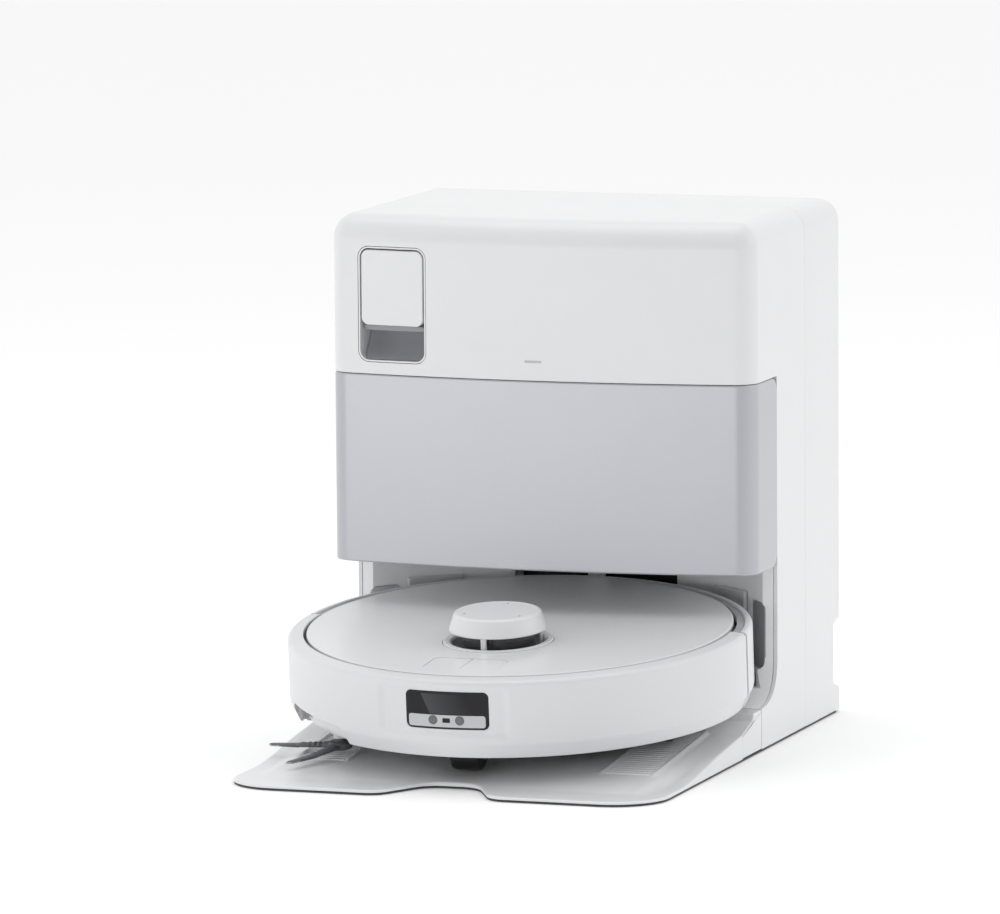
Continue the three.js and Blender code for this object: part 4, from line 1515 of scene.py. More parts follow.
@dataclass
class Base:
    """The washing base behind the ramp, which the tower's feet stand in."""

    tower: Tower
    parking: Parking
    front: float = -18.9
    foot: float = 30.1
    wash: tuple[float, float, float] = (132.0, 30.0, 160.0)

    def deck_box(self, name: str, low: Corner, high: Corner) -> Piece:
        """A block set square on the standing plane."""
        return move(box(name, low, high), self.parking.matrix)

    def build(self) -> None:
        """The base, with the tray's pocket cut in it, and its ribs, shaped, dressed and hooked up."""
        bottom, wall, gap = self.tower.floor, self.tower.wall, self.tower.gap
        half = self.tower.half
        inside = half - wall - gap
        made = prism("base_moulding", rounded([
            (self.front, bottom), (self.foot, bottom), (self.foot, 32.3, 1.2), (10.6, 32.2, 2.5),
            (7.9, 26.5, 2.5),
            (self.front, 20.1, 0.8)], 5), -half, half, Axis.X, 1.4, 3)
        floor = carve(self.deck_box("floor", (-inside, 40, -60), (inside, 179, -3)), Carve.KEEP,
                      box("level", (-200, 0, bottom), (200, 145.4, 60)))
        plate = carve(box("plate", (-inside, 140, bottom), (inside, 260, bottom + wall)), Carve.KEEP,
                      self.tower.body("inner", wall + gap))
        carve(made, Carve.JOIN, floor, plate)
        wash_half, wash_front, wash_rear = self.wash
        carve(made, Carve.CUT, self.deck_box("well", (-138, -20, -2), (138, 70, 60)),
              self.deck_box("tray", (-wash_half - gap, wash_front - gap, -9.4),
                            (wash_half + gap, wash_rear + gap, 60)),
              box("hollow", (-160, -12, -1), (160, 138, 11)))
        soften(made, 1.0, lambda p: p.y < 40 and p.z > 17 and abs(p.x) < 150, 2, 50)
        hand_over(made, Part("base_moulding", "station", "shell_white", "white_shell", ("base_tray",)))
        unit = prism("scrub_rib", rounded([(-1.1, -0.5), (1.1, -0.5), (0.8, 1.6, 0.4), (-0.8, 1.6, 0.4)], 3),
                     -52, 52, Axis.X)
        for side in Side:
            copy = new_object("scrub_copy", unit.data.copy())
            row = row_of(f"{side.word}_scrub_ribs", copy, Vector((side.value * 68, 48, -6.9)),
                         Vector((0, 9, 0)), 12,
                         "grey_pad")
            hand_over(row, Part(f"{side.word}_scrub_ribs", "station", "grey_pad", "pale_plastic"),
                      self.parking.matrix)
        discard(unit)


@dataclass
class Bay:
    """The vents on the bay's hollow wall, which also holds the contacts and guide pads."""

    parking: Parking
    wall: float = 190.0
    vent_at: float = 37.3
    vent: tuple[float, float] = (26.0, 51.0)
    vent_z: float = 82.0

    def on_wall(self, side: Side, degrees: float, radius: float, z: float) -> Matrix:
        """Turns a piece drawn facing -X onto the wall.

        Args:
            side: which wall.
            degrees: where round it.
            radius: off its centre line.
            z: the height.

        Returns:
            The placing.
        """
        angle = math.radians(degrees if side is Side.RIGHT else 180 - degrees)
        centre = Vector((radius * math.cos(angle), self.parking.contact[1] + radius * math.sin(angle), z))
        return Matrix.Translation(centre * MM) @ Matrix.Rotation(angle, 4, "Z")

    def build(self) -> None:
        """Both vents, shaped, dressed and hooked up."""
        width, height = self.vent
        for side in Side:
            plate = prism("vent", oblong(-width / 2, width / 2, -height / 2, height / 2, 4, 8), -1, 1,
                          Axis.X, 0.7, 4)
            place = self.on_wall(side, self.vent_at, self.wall + 1.6, self.vent_z)
            # The left vent takes the paler guide grey and the right the darker vent grey: painted light for
            # the better-lit left side.
            finish = "vent_grey" if side is Side.RIGHT else "guide_grey"
            hand_over(plate, Part(f"{side.word}_vent_plate", "station", finish, "graphite",
                                  (f"{side.word}_vent",)), place)


@dataclass
class DustBag:
    """The fleece dust bag in the emptying compartment: a slack pillow that hangs from its collar."""

    x: tuple[float, float] = (-151.0, -15.0)
    y: tuple[float, float] = (24.0, 132.0)
    z: tuple[float, float] = (151.0, 262.0)
    corner: float = 28.0

    def build(self) -> None:
        """The bag, shaped, dressed and hooked up."""
        middle = (self.y[0] + self.y[1]) / 2
        rings: list[Ring] = []
        rows = 56
        for k in range(rows + 1):
            t = k / rows
            swell = math.sin(math.pi * min(1.0, max(0.0, t))) ** 0.42
            depth = 2.0 + (self.y[1] - self.y[0] - 6) / 2 * swell
            narrow = 9 * (1 - swell)
            ring: Ring = []
            for x, y in oblong(self.x[0] + narrow, self.x[1] - narrow, -depth, depth,
                               min(self.corner, depth * 0.98),
                               14):
                ring.append(Vector((x, middle + y, self.z[0] + (self.z[1] - self.z[0]) * t)))
            rings.append(ring)
        made = loft("dust_bag_fleece", rings)
        draft = bmesh.new()
        draft.from_mesh(made.data)
        bmesh.ops.subdivide_edges(draft, edges=[e for e in draft.edges if e.calc_length() > 8 * MM], cuts=5,
                                  use_grid_fill=True)
        draft.to_mesh(made.data)
        draft.free()
        for vertex in made.data.vertices:
            place = vertex.co / MM
            wave = noise.noise(Vector((place.x / 23, place.y / 23, place.z / 38)))
            fold = noise.noise(Vector((place.x / 9, place.y / 60, place.z / 16)) + Vector((7, 3, 1)))
            inwards = Vector((sum(self.x) / 2 - place.x, middle - place.y, 0)).normalized()
            vertex.co += inwards * MM * (1.6 + 1.5 * wave + 0.9 * fold)
        hand_over(made, Part("dust_bag_fleece", "station", "fleece", "bag_fleece", ("dust_bag",), smooth=80))


# ---- the robot ----


@dataclass
class Body:
    """The robot's outer skin: a sprung bumper in front, a rear shell, and the lift-off cover."""

    parking: Parking
    radius: float = 176.5
    skin: float = 3.1
    bottom: float = 20.0
    top: float = 79.5
    split: float = 9.6
    rear_split: float = 12.4
    cover: float = 162.2
    cover_top: float = 81.0
    travel: float = 2.4
    notch_at: float = -130.0
    dish: tuple[float, float, float, float] = (-57.0, 49.0, 35.0, 76.0)
    dish_depth: float = 1.9
    dish_edge: float = 6.0

    def profile(self, front: bool) -> list[Flat]:
        """The skin's section: a soft shoulder, a chamfered skirt, and a flange or channel inwards.

        Args:
            front: the bumper's section, not the rear shell's.

        Returns:
            The section.
        """
        r, top, bottom = self.radius, self.top, self.bottom
        inner, rim = r - self.skin, self.cover + self.travel
        shoulder = [(r - 3.9 + 3.9 * math.sin(a), top - 3.6 + 3.9 * math.cos(a) - 0.25)
                    for a in (math.pi / 2 * k / 8 for k in range(9))]
        flank = [(r, 33 + (top - 5.5 - 33) * k / 16) for k in range(16, -1, -1)]
        skirt = [(r - 0.25, bottom + 11.2), (r - 0.8, bottom + 9.9), (r - 1.5, bottom + 8.6),
                 (r - 5.0, bottom + 0.8),
                 (r - 5.5, bottom + 0.2), (r - 6.2, bottom), (r - 7.3, bottom), (r - 7.6, bottom + 0.3)]
        back = [(inner - 1, bottom + 9), (inner, bottom + 11), (inner, top - 6.5), (inner - 2, top - 4.4)]
        if front:
            flange = [(rim, top - 1.5), (rim, top + 0.6), (rim + 0.4, top + 1.0), (rim + 3, top + 0.86)]
        else:
            flange = [(rim, top - 4.2), (rim, top - 2.4), (r - 6.1, top - 2.4), (r - 5.6, top - 0.6),
                      (r - 5.1, top - 0.1)]
        return [*back, *flange, *shoulder, *flank, *skirt]

    def sector(self, name: str, edge: float, front: bool, segments: int) -> Piece:
        """The skin in front of, or behind, a split at y = edge.

        Args:
            name: the name.
            edge: the split.
            front: which part.
            segments: in a whole turn.

        Returns:
            The object.
        """
        lean = math.degrees(math.asin(edge / self.radius))
        start, end = (-180 - lean, lean) if front else (lean, 180 - lean)
        return Spin(segments=segments).turned(name, self.profile(front), start, end)

    def seam_strip(self) -> Piece:
        """The strip sunk behind the gap between bumper and rear shell, on both flanks.

        Returns:
            The strip.
        """
        low, high = self.bottom + 3, self.top - 1
        section = [(self.radius - 6, low), (self.radius - 1.8, low + 5), (self.radius - 1.8, high - 3),
                   (self.radius - 4, high), (self.radius - 6, high)]
        lean = math.degrees(math.asin(self.rear_split / self.radius))
        reach = math.degrees(2.6 / self.radius)
        spin = Spin(segments=1440)
        return join_loose("seam_strips", [spin.turned("strip", section, lean, lean + reach),
                                          spin.turned("strip", section, 180 - lean - reach, 180 - lean)])

    def notch(self, grow: float = 0.0) -> Piece:
        """The cut in the skirt that bares the side brush.

        Args:
            grow: how much wider.

        Returns:
            The cutter.
        """
        made = prism("notch", rounded([(-62 - grow, -60), (42 + grow, -60), (26 + grow, 34 + grow, 6),
                                       (-58 - grow, 36 + grow, 5)], 10), 140, 210, Axis.X)
        return move(made, Matrix.Rotation(math.radians(self.notch_at), 4, "Z"))

    def notch_lining(self) -> None:
        """The pale housing behind the notch, with a ribbed grey seal at its outer end."""
        section = [(158, 20), (163.5, 20), (166.5, 26), (167.5, 50), (158, 50)]
        lining = Spin(segments=320).turned("notch_lining", section, -160, -105)
        soften(lining, 0.8, steps=2)
        hand_over(lining, Part("notch_lining", "robot", "shell_white", "white_shell"), self.parking.matrix)
        unit = prism("seal_rib", rounded([(168.2, -1.1), (173.4, -0.7, 0.6), (173.4, 0.7, 0.6),
                                          (168.2, 1.1)], 3), 25, 37)
        ribs = []
        for k in range(5):
            turn = Matrix.Rotation(math.radians(self.notch_at - 19.4 + k * 1.0), 4, "Z")
            ribs.append(move(new_object("seal_rib", unit.data.copy()), turn))
        discard(unit)
        hand_over(join_loose("notch_seal", ribs), Part("notch_seal", "bumper", "rim_grey", "soft_rubber"),
                  self.parking.matrix)

    def press_dish(self, target: Piece) -> None:
        """Presses the shallow dish round the camera window into the bumper.

        Args:
            target: the bumper.
        """
        left, right, low, high = self.dish
        for vertex in target.data.vertices:
            x, y, z = vertex.co / MM
            if y > 0 or math.hypot(x, y) < self.radius - 1.0:
                continue
            inside = (x - left, right - x, z - low, high - z)
            depth = self.dish_depth * math.prod(smooth(reach / self.dish_edge) for reach in inside)
            vertex.co += Vector((-x, -y, 0)).normalized() * (depth * MM)

    def build(self, window: "Window") -> None:
        """The bumper and the rear shell, with the notch lining, seam strips and rear channel ring, shaped,
        dressed and hooked up.

        Args:
            window: the camera window it leaves room for.
        """
        made = self.sector("bumper_skin", self.split, True, 640)
        self.press_dish(made)
        carve(made, Carve.CUT, window.opening("opening", 0.4), self.notch())
        soften(made, 0.9, lambda p: p.z < 60 and p.x < -50 and p.y < -60, 3, 40)
        soften(made, 0.7, lambda p: abs(p.x) < 36 and p.y < -165 and 40 < p.z < 73, 3, 50)
        soften(made, 0.8, lambda p: abs(p.y - self.split) < 1.0 and abs(p.x) > 150, 2, 50)
        hand_over(made, Part("bumper_skin", "bumper", "front_white", "white_shell", ("bumper",)),
                  self.parking.matrix)

        self.notch_lining()
        rear = self.sector("rear_skin", self.rear_split + 1.8, False, 320)
        soften(rear, 0.8, lambda p: abs(p.y - self.rear_split - 1.8) < 1.0, 2, 50)
        strips = self.seam_strip()
        hand_over(strips, Part("rear_seam_strips", "robot", "front_white", "white_shell"),
                  self.parking.matrix)
        # A grey ring laid in the rear channel behind the cover: painted shade for the rim's shadowed top.
        lean = math.degrees(math.asin(self.rear_split / self.radius)) + 0.8
        ring = Spin(segments=320).turned("rear_channel", [
            (self.cover + self.travel + 0.3, self.top - 2.35), (self.radius - 6.3, self.top - 2.35),
            (self.radius - 6.3, self.top - 1.5), (self.cover + self.travel + 0.3, self.top - 0.9)], lean,
                                         180 - lean)
        hand_over(ring, Part("rear_channel", "robot", "rim_grey", "pale_plastic"), self.parking.matrix)
        hand_over(rear, Part("rear_skin", "robot", "front_white", "white_shell", ("rear_shell",)),
                  self.parking.matrix)


@dataclass
class Window:
    """The camera window: a black surround, a dark glass and a pale band with two lenses."""

    parking: Parking
    half: float = 32.0
    bottom: float = 42.7
    top: float = 70.7
    corner: float = 4.0
    face: float = 174.7
    band: tuple[float, float] = (44.0, 53.2)
    lens_at: float = 10.4
    lens_z: float = 49.4

    def opening(self, name: str, grow: float = 0.0) -> Piece:
        """The window's outline as a solid that runs front to back."""
        return prism(name, oblong(-self.half - grow, self.half + grow, self.bottom - grow, self.top + grow,
                                  self.corner + grow, 10), -200, -140, Axis.Y)

    def curved(self, name: str, inner: float, outer: float, low: float, high: float) -> Piece:
        """A strip of the window's curve."""
        return Spin(segments=720).turned(name, [(inner, low), (outer, low), (outer, high), (inner, high)],
                                         -103, -77)

    def build(self) -> None:
        """The window's layers, shaped, dressed and hooked up."""
        surround = carve(self.curved("window_surround", 173.0, self.face, 30, 85), Carve.KEEP,
                         self.opening("cut"))
        soften(surround, 0.5, lambda p: p.y < -160, 3, 50)
        hand_over(surround, Part("window_surround", "bumper", "dark_window", "dark_window",
                                 ("camera_window",)),
                  self.parking.matrix)
        # The glass's colour holds a painted reflection, a paler band beyond a slanted line.
        glass = carve(self.curved("window_glass", 174.72, 174.95, 30, 85), Carve.KEEP, prism(
            "cut", oblong(-self.half + 1.8, self.half - 1.8, self.band[1] + 0.4, self.top - 1.6, 2.4, 8),
            -200, -140,
            Axis.Y))
        hand_over(glass, Part("window_glass", "bumper", "smoked_glass", "dark_window"), self.parking.matrix)
        low, high = self.band
        strip = carve(self.curved("sensor_strip", 175.0, 175.5, low, high), Carve.KEEP, prism(
            "cut", oblong(-self.half + 2, self.half - 2, low, high, 2, 6), -200, -140, Axis.Y))
        carve(strip, Carve.CUT, prism("slot", oblong(-3, 3, 47.4, 51, 0.7, 4), -200, -140, Axis.Y))
        hand_over(strip, Part("sensor_strip", "bumper", "pale_plastic", "pale_plastic", ("sensor_band",)),
                  self.parking.matrix)
        lenses = []
        for side in Side:
            x = side.value * self.lens_at
            depth = -math.sqrt(175.0**2 - x**2)
            lenses.append(Spin(x, depth, self.lens_z, Axis.Y, 40).turned("lens", [
                (0, 0), (3.5, 0), (3.5, -0.7), (3.2, -0.95), (2.9, -0.95), (2.7, -0.72), (1.6, -0.86),
                (0, -0.95)]))
        hand_over(join_loose("lens_pair", lenses), Part("lens_pair", "bumper", "lens_glass", "dark_window"),
                  self.parking.matrix)


@dataclass
class Turret:
    """The ranging turret on the cover, with the cover and the two keys in front of it."""

    parking: Parking
    body: Body
    y: float = -51.0
    hole: float = 42.4
    cup: float = 41.8
    cap: float = 37.0
    cap_top: float = 33.0
    slot: float = 90.0
    top: float = 104.0
    posts: tuple[float, ...] = (-91.0, 29.0, 149.0)
    keys: tuple[float, float, float] = (29.0, -143.0, -111.0)

    def key_plan(self, grow: float = 0.0) -> list[Flat]:
        """The outline shared by the two keys."""
        half, front, rear = self.keys
        return oblong(-half - grow, half + grow, front - grow, rear + grow, 5 + grow, 8)

    def cover(self) -> None:
        """The lift-off cover."""
        edge, top = self.body.cover, self.body.cover_top
        rim = [(edge - 1.2 + 1.2 * math.sin(a), top - 1.2 + 1.2 * math.cos(a))
               for a in (math.pi / 2 * k / 6 for k in range(7))]
        made = Spin(segments=256).turned("cover_plate",
                                         [(0, top), (90, top), *rim, (edge, 78), (edge - 0.6, 77.4),
                                          (0, 77.4)])
        carve(made, Carve.CUT, prism("turret_hole", circle(self.hole, 0, self.y, 128), 60, 100),
              prism("key_hole", self.key_plan(0.4), 60, 100))
        soften(made, 0.5, lambda p: p.z > top - 0.2 and (math.hypot(p.x, p.y - self.y) < self.hole + 1
                                                         or (abs(p.x) < 31 and p.y < -100)), 2, 60)
        hand_over(made, Part("cover_plate", "top_cover", "shell_white", "white_shell", ("top_cover",)),
                  self.parking.matrix)

    def key(self, side: Side, node: str) -> None:
        """One of the two keys.

        Args:
            side: which key.
            node: the CAD node it stands for.
        """
        top = self.body.cover_top - 0.2
        reach = box("half", (-200, -200, 0), (-0.2, 200, 200)) if side is Side.LEFT else box(
            "half", (0.2, -200, 0), (200, 200, 200))
        made = carve(prism(f"{node}_cap", self.key_plan(), 68.6, top), Carve.KEEP, reach)
        soften(made, 0.6, lambda p: p.z > top - 0.2, 3, 60)
        hand_over(made, Part(f"{node}_cap", node, "shell_white", "white_shell", (node,)), self.parking.matrix)

    def build(self) -> None:
        """The cover, cup, rotor, cap and keys, shaped, dressed and hooked up."""
        self.cover()
        self.key(Side.LEFT, "power_key")
        self.key(Side.RIGHT, "dock_key")
        spin = Spin(0, self.y, 0, Axis.Z, 160)
        cup = spin.turned("cup_ring", [
            (0, 67.4), (self.cup, 67.4), (self.cup, 81.3), (self.cup - 0.3, 81.9), (self.cup - 1.0, 82.2),
            (self.cup - 1.7, 82.1), (self.cup - 2.0, 81.3), (self.cup - 2.7, 81.3), (self.cup - 3.0, 82.2),
            (37.4, 82.1), (36.0, 81.3), (35.4, 80.2), (35.2, 79.0), (35.2, 70.0), (0, 70.0)])
        hand_over(cup, Part("cup_ring", "robot", "shell_white", "white_shell", ("turret_cup",)),
                  self.parking.matrix)
        rotor = spin.turned("rotor_drum", [
            (0, 70.4), (25, 70.4), (25, 74), (27.6, 74.6), (28, 75.2), (28, 79), (27.6, 79.3), (27.6, 80.0),
            (28, 80.3),
            (28, 84), (27.6, 84.3), (27.6, 85.0), (28, 85.3), (28, 95.4), (27.4, 96), (0, 96)])
        carve(rotor, Carve.CUT, box("eye", (-14, self.y - 40, 82), (-4, self.y - 26.2, 93), 0),
              box("eye", (4, self.y - 40, 82), (14, self.y - 26.2, 93), 0))
        hand_over(rotor, Part("rotor_drum", "turret_rotor", "rotor_grey", "dark_window", ("turret_rotor",)),
                  self.parking.matrix)
        slot, top, cap, crown = self.slot, self.top, self.cap, self.cap_top
        shoulder = [(crown - 2.6 + 3.2 * math.sin(a), top - 3.0 + 3.0 * math.cos(a))
                    for a in (math.pi / 2 * k / 10 for k in range(11))]
        shell = spin.turned("cap_shell", [
            (0, top - 0.4), (27.6, top - 0.4), (28.6, top - 0.1), (29.4, top), *shoulder,
            (cap - 0.3, slot + 2.2), (cap, slot + 1.2), (cap - 0.2, slot + 0.4),
            (cap - 0.8, slot), (30.3, slot), (30, slot + 0.3), (29.4, top - 4), (0, top - 3)])
        posts = []
        for degrees in self.posts:
            post = prism("post", oblong(30.9, 33.7, -2.3, 2.3, 1.2, 4), 72.6, 91.4)
            turn = Matrix.Translation(Vector((0, self.y,
                                              0)) * MM) @ Matrix.Rotation(math.radians(degrees), 4, "Z")
            posts.append(move(post, turn))
        carve(shell, Carve.JOIN, *posts)
        hand_over(shell, Part("cap_shell", "turret_cap", "shell_white", "white_shell", ("turret_cap",)),
                  self.parking.matrix)
        dot = Spin(0, 0, 0, Axis.Z, 20).turned("dot", [(0, -0.7), (0.85, -0.7), (0.85, -0.37), (0, -0.37)])
        move(dot, Matrix.Translation(Vector((25.4, 0, top)) * MM))
        dots = wheel_of("cap_dots", dot, Spin(0, self.y, 0), 3, "graphite")
        turned = Matrix.Translation(Vector((0, self.y, 0)) * MM)
        move(dots, turned @ Matrix.Rotation(math.radians(90), 4, "Z") @ turned.inverted())
        hand_over(dots, Part("cap_dots", "turret_cap", "graphite", "graphite"), self.parking.matrix)


@dataclass
class Wheels:
    """The drive wheels with their lugged tyres, and the caster."""

    parking: Parking
    x: float = 115.0
    y: float = -14.0
    radius: float = 35.0
    width: float = 22.0
    lugs: int = 30
    caster: tuple[float, float, float] = (-131.0, 13.0, 24.0)
    trail: float = 3.0

    def drive(self, side: Side) -> None:
        """One drive wheel.

        Args:
            side: which wheel.
        """
        half, body = self.width / 2, f"{side.word}_wheel"
        spin = Spin(side.value * self.x, self.y, self.radius, Axis.X, 96)
        out = side.value
        root = self.radius - 1.6
        tyre = spin.turned(f"{side.word}_tyre", [(r, out * a) for r, a in (
            (26, -half), (root - 1.6, -half), (root - 0.4, -half + 0.5), (root, -half + 1.6),
            (root, half - 1.6),
            (root - 0.4, half - 0.5), (root - 1.6, half), (26.8, half), (26, half - 0.8))])
        hand_over(tyre, Part(f"{side.word}_tyre", body, "tyre_rubber", "wheel_rubber",
                             (f"{side.word}_wheel",)),
                  self.parking.matrix)
        lug = prism("lug", rounded([(root - 0.4, -1.9), (self.radius, -1.3, 0.5), (self.radius, 1.3, 0.5),
                                    (root - 0.4, 1.9)], 2), -half + 1.8, half - 1.8, Axis.Z)
        lugs = wheel_of(f"{side.word}_tyre_lugs", lug, spin, self.lugs, "tyre_rubber")
        hand_over(lugs, Part(f"{side.word}_tyre_lugs", body, "tyre_rubber", "wheel_rubber"),
                  self.parking.matrix)
        hub = spin.turned(f"{side.word}_hub", [(r, out * a) for r, a in (
            (4.4, -half + 0.4), (25.9, -half + 0.4), (25.9, half - 1.2), (24.8, half - 0.8),
            (23.6, half - 1.4),
            (22.6, half - 4.2), (9, half - 4.2), (8.2, half - 3.0), (7.4, half - 2.6), (4.4, half - 2.6))])
        hand_over(hub, Part(f"{side.word}_hub", body, "graphite", "graphite"), self.parking.matrix)
        low, high = sorted((out * (half - 4.6), out * (half - 2.2)))
        spoke = prism("spoke", oblong(9.5, 22.4, -1.6, 1.6, 0.8, 3), low, high, Axis.Z)
        spokes = wheel_of(f"{side.word}_spokes", spoke, spin, 6, "graphite")
        hand_over(spokes, Part(f"{side.word}_spokes", body, "graphite", "graphite"), self.parking.matrix)

    def build(self) -> None:
        """All wheels, shaped, dressed and hooked up."""
        for side in Side:
            self.drive(side)
        y, radius, width = self.caster
        half = width / 2
        arc = [(radius - 4 + 4 * math.cos(a), half - 4 + 4 * math.sin(a))
               for a in (math.pi / 2 * k / 6 for k in range(7))]
        profile = [(1.6, -half), *[(r, -a) for r, a in reversed(arc)], *arc, (1.6, half)]
        tread = Spin(0, y + self.trail, radius, Axis.X, 72).turned("caster_tread", profile)
        hand_over(tread, Part("caster_tread", "caster_wheel", "black_plastic", "wheel_rubber",
                              ("caster_wheel",)),
                  self.parking.matrix)


@dataclass
class Brushes:
    """The main brush with its swept fins, and the side brush with its two arms."""

    parking: Parking
    main: tuple[float, float, float, float] = (-48.0, 29.0, 20.5, 84.0)
    side: tuple[float, float] = (-112.0, -100.0)
    reach: float = 57.0
    arms: tuple[float, ...] = (184.0, 259.0)

    def roller(self) -> None:
        """The main brush: a core and six fins swept to a chevron."""
        y, z, radius, half = self.main
        spin = Spin(0, y, z, Axis.X, 64)
        core = spin.turned("roller_core",
                           [(3, -half), (11.4, -half), (12.4, -half + 1), (12.4, half - 1), (11.4, half),
                            (3, half)])
        hand_over(core, Part("roller_core", "main_brush", "soft_rubber", "soft_rubber", ("main_brush",)),
                  self.parking.matrix)
        fins = []
        for k in range(6):
            rings: list[Ring] = []
            for step in range(49):
                x = -half + 1.5 + (2 * half - 3) * step / 48
                angle = math.radians(60 * k + 42 * (1 - abs(x) / half))
                ring: Ring = []
                for across, out in ((-1.3, 11.6), (1.3, 11.6), (0.7, 17), (0.55, radius - 0.4),
                                    (-0.55, radius - 0.4),
                                    (-0.7, 17)):
                    ring.append(Vector((x, y + out * math.cos(angle) - across * math.sin(angle),
                                        z + out * math.sin(angle) + across * math.cos(angle))))
                rings.append(ring)
            fins.append(loft("fin", rings))
        hand_over(join_loose("roller_fins", fins),
                  Part("roller_fins", "main_brush", "soft_rubber", "soft_rubber"),
                  self.parking.matrix)

    def arm(self, degrees: float, bend: float) -> tuple[Piece, Piece, Piece]:
        """One arm of the side brush: a ribbed rubber root, a sleeve and a flat tuft of bristles.

        Args:
            degrees: where round the hub.
            bend: the tip's lean.

        Returns:
            The root, the sleeve and the tuft.
        """
        x, y = self.side
        base = Matrix.Translation(Vector((x, y, 0)) * MM) @ Matrix.Rotation(math.radians(degrees), 4, "Z")

        def bar(name: str, stations: Sequence[tuple[float, float, float, float]]) -> Piece:
            """A bar along the arm.

            Args:
                name: the name.
                stations: (distance out, half width, low, high) along it.

            Returns:
                The bar, in its place.
            """
            rings: list[Ring] = []
            for out, half, low, high in stations:
                aside = bend * (out / self.reach) ** 2
                middle, tall = (low + high) / 2, (high - low) / 2
                rings.append([Vector((out, aside + half * math.cos(a), middle + tall * math.sin(a)))
                              for a in (2 * math.pi * k / 14 for k in range(14))])
            return move(loft(name, rings), base)

        root = bar("root", [(6, 4.6, 4.4, 9.6), (12, 4.6, 4.4, 9.0), (14, 3.6, 4.4, 8.2), (16, 4.6, 4.3, 8.8),
                            (18, 3.6, 4.3, 8.0), (20, 4.6, 4.2, 8.6), (22, 3.6, 4.2, 7.8),
                            (24, 4.5, 4.1, 8.3),
                            (26, 3.6, 4.1, 7.6), (30, 4.4, 4.0, 7.8), (33, 3.4, 4.0, 7.0),
                            (35, 2.6, 4.0, 6.4)])
        tufts = [self.strand(base, bend, (k % 9 - 4) / 4, k // 9) for k in range(27)]
        tuft = join_loose("tuft", tufts)
        tip = bar("tip", [(self.reach - 11, 2.4, 3.9, 5.9), (self.reach - 8, 2.8, 3.8, 5.8),
                          (self.reach - 0.8, 2.3, 3.9, 5.3), (self.reach - 0.3, 1.6, 4.1, 5.0)])
        return root, tuft, tip

    def strand(self, base: Matrix, bend: float, spread: float, row: int) -> Piece:
        """One bristle of a tuft, at a place across and a row down.

        Args:
            base: the arm's placing.
            bend: the tip's lean.
            spread: the place across.
            row: the row down.

        Returns:
            The bristle.
        """
        rings: list[Ring] = []
        for step in range(7):
            t = step / 6
            out = 32 + (self.reach - 32.4 - abs(spread) * 2.0) * t
            aside = bend * (out / self.reach) ** 2 + spread * (2.7 - 0.7 * t)
            height = 6.1 - 0.8 * t - row * 0.8 * (1 - 0.4 * t)
            size = 0.36 - 0.1 * t
            rings.append([Vector((out, aside + size * c, height + size * s))
                          for c, s in ((-1, -1), (1, -1), (1, 1), (-1, 1))])
        return move(loft("bristle", rings), base)

    def build(self) -> None:
        """Both brushes, shaped, dressed and hooked up."""
        self.roller()
        x, y = self.side
        roots, tufts, tips = [], [], []
        for degrees, bend in zip(self.arms, (-3.0, -13.0)):
            root, tuft, tip = self.arm(degrees, bend)
            roots.append(root)
            tufts.append(tuft)
            tips.append(tip)
        hub = Spin(x, y, 0, Axis.Z, 48).turned("hub", [
            (0, 4.0), (7.6, 4.0), (8.8, 4.8), (9, 5.6), (9, 8.6), (8.2, 9.5), (4.6, 9.7), (4, 10.2), (4, 12),
            (0, 12)])
        hand_over(join_loose("side_brush_hub", [hub, *roots]),
                  Part("side_brush_hub", "side_brush", "bristle_grey", "graphite", ("side_brush",)),
                  self.parking.matrix)
        hand_over(join_loose("side_brush_tufts", tufts),
                  Part("side_brush_tufts", "side_brush", "bristle_grey", "graphite"), self.parking.matrix)
        hand_over(join_loose("side_brush_tips", tips),
                  Part("side_brush_tips", "side_brush", "bristle_tip", "soft_rubber"), self.parking.matrix)


@dataclass
class Mops:
    """The two round mop pads with their backing plates."""

    parking: Parking
    x: float = 68.0
    y: float = 82.0
    radius: float = 64.0
    bottom: float = 3.5
    thick: float = 8.0

    def build(self) -> None:
        """Both pads, shaped, dressed and hooked up."""
        for side in Side:
            x = side.value * self.x
            low, high = self.bottom, self.bottom + self.thick
            rim = [(self.radius - 3.2 + 3.2 * math.cos(a), low + 3.0 + 2.9 * math.sin(a))
                   for a in (-math.pi / 2 + math.pi * k / 10 for k in range(11))]
            under = [(4.0 * k, low + 0.1 + 0.4 * smooth(1 - k / 14)) for k in range(15)]
            over = [(4.0 * k, high - 2.1) for k in range(14, -1, -1)]
            pad = Spin(x, self.y, 0, Axis.Z, 180).turned("pad", [*under, *rim, *over])
            for vertex in pad.data.vertices:
                px, py, pz = vertex.co / MM
                out = math.hypot(px - x, py - self.y)
                if out < 6:
                    continue
                tuft = 0.5 + 0.5 * noise.noise(Vector((px / 2.6, py / 2.6, pz / 2.6)))
                away = Vector((px - x, py - self.y, 0)).normalized()
                vertex.co += (Vector((0, 0, 1)) * (0.7 * tuft if pz < low + 1.5 else 0)
                              - away * (1.1 * tuft if out > self.radius - 6 else 0)) * MM
            hand_over(pad, Part(f"{side.word}_mop_pile", f"{side.word}_mop", "mop_pile", "mop_pile",
                                (f"{side.word}_mop",), smooth=80), self.parking.matrix)
            plate = Spin(x, self.y, 0, Axis.Z, 96).turned("plate", [
                (0, high - 2.05), (self.radius - 4, high - 2.05), (self.radius - 3, high - 1.4),
                (self.radius - 3.6, high - 0.6), (30, high - 0.1), (12, high), (5.0, high + 0.6), (5.0, 26.1),
                (4.4, 26.1), (0, 26.1)])
            hand_over(plate, Part(f"{side.word}_mop_plate", f"{side.word}_mop", "graphite", "graphite"),
                      self.parking.matrix)


# ---- the pieces whose shape stays ----

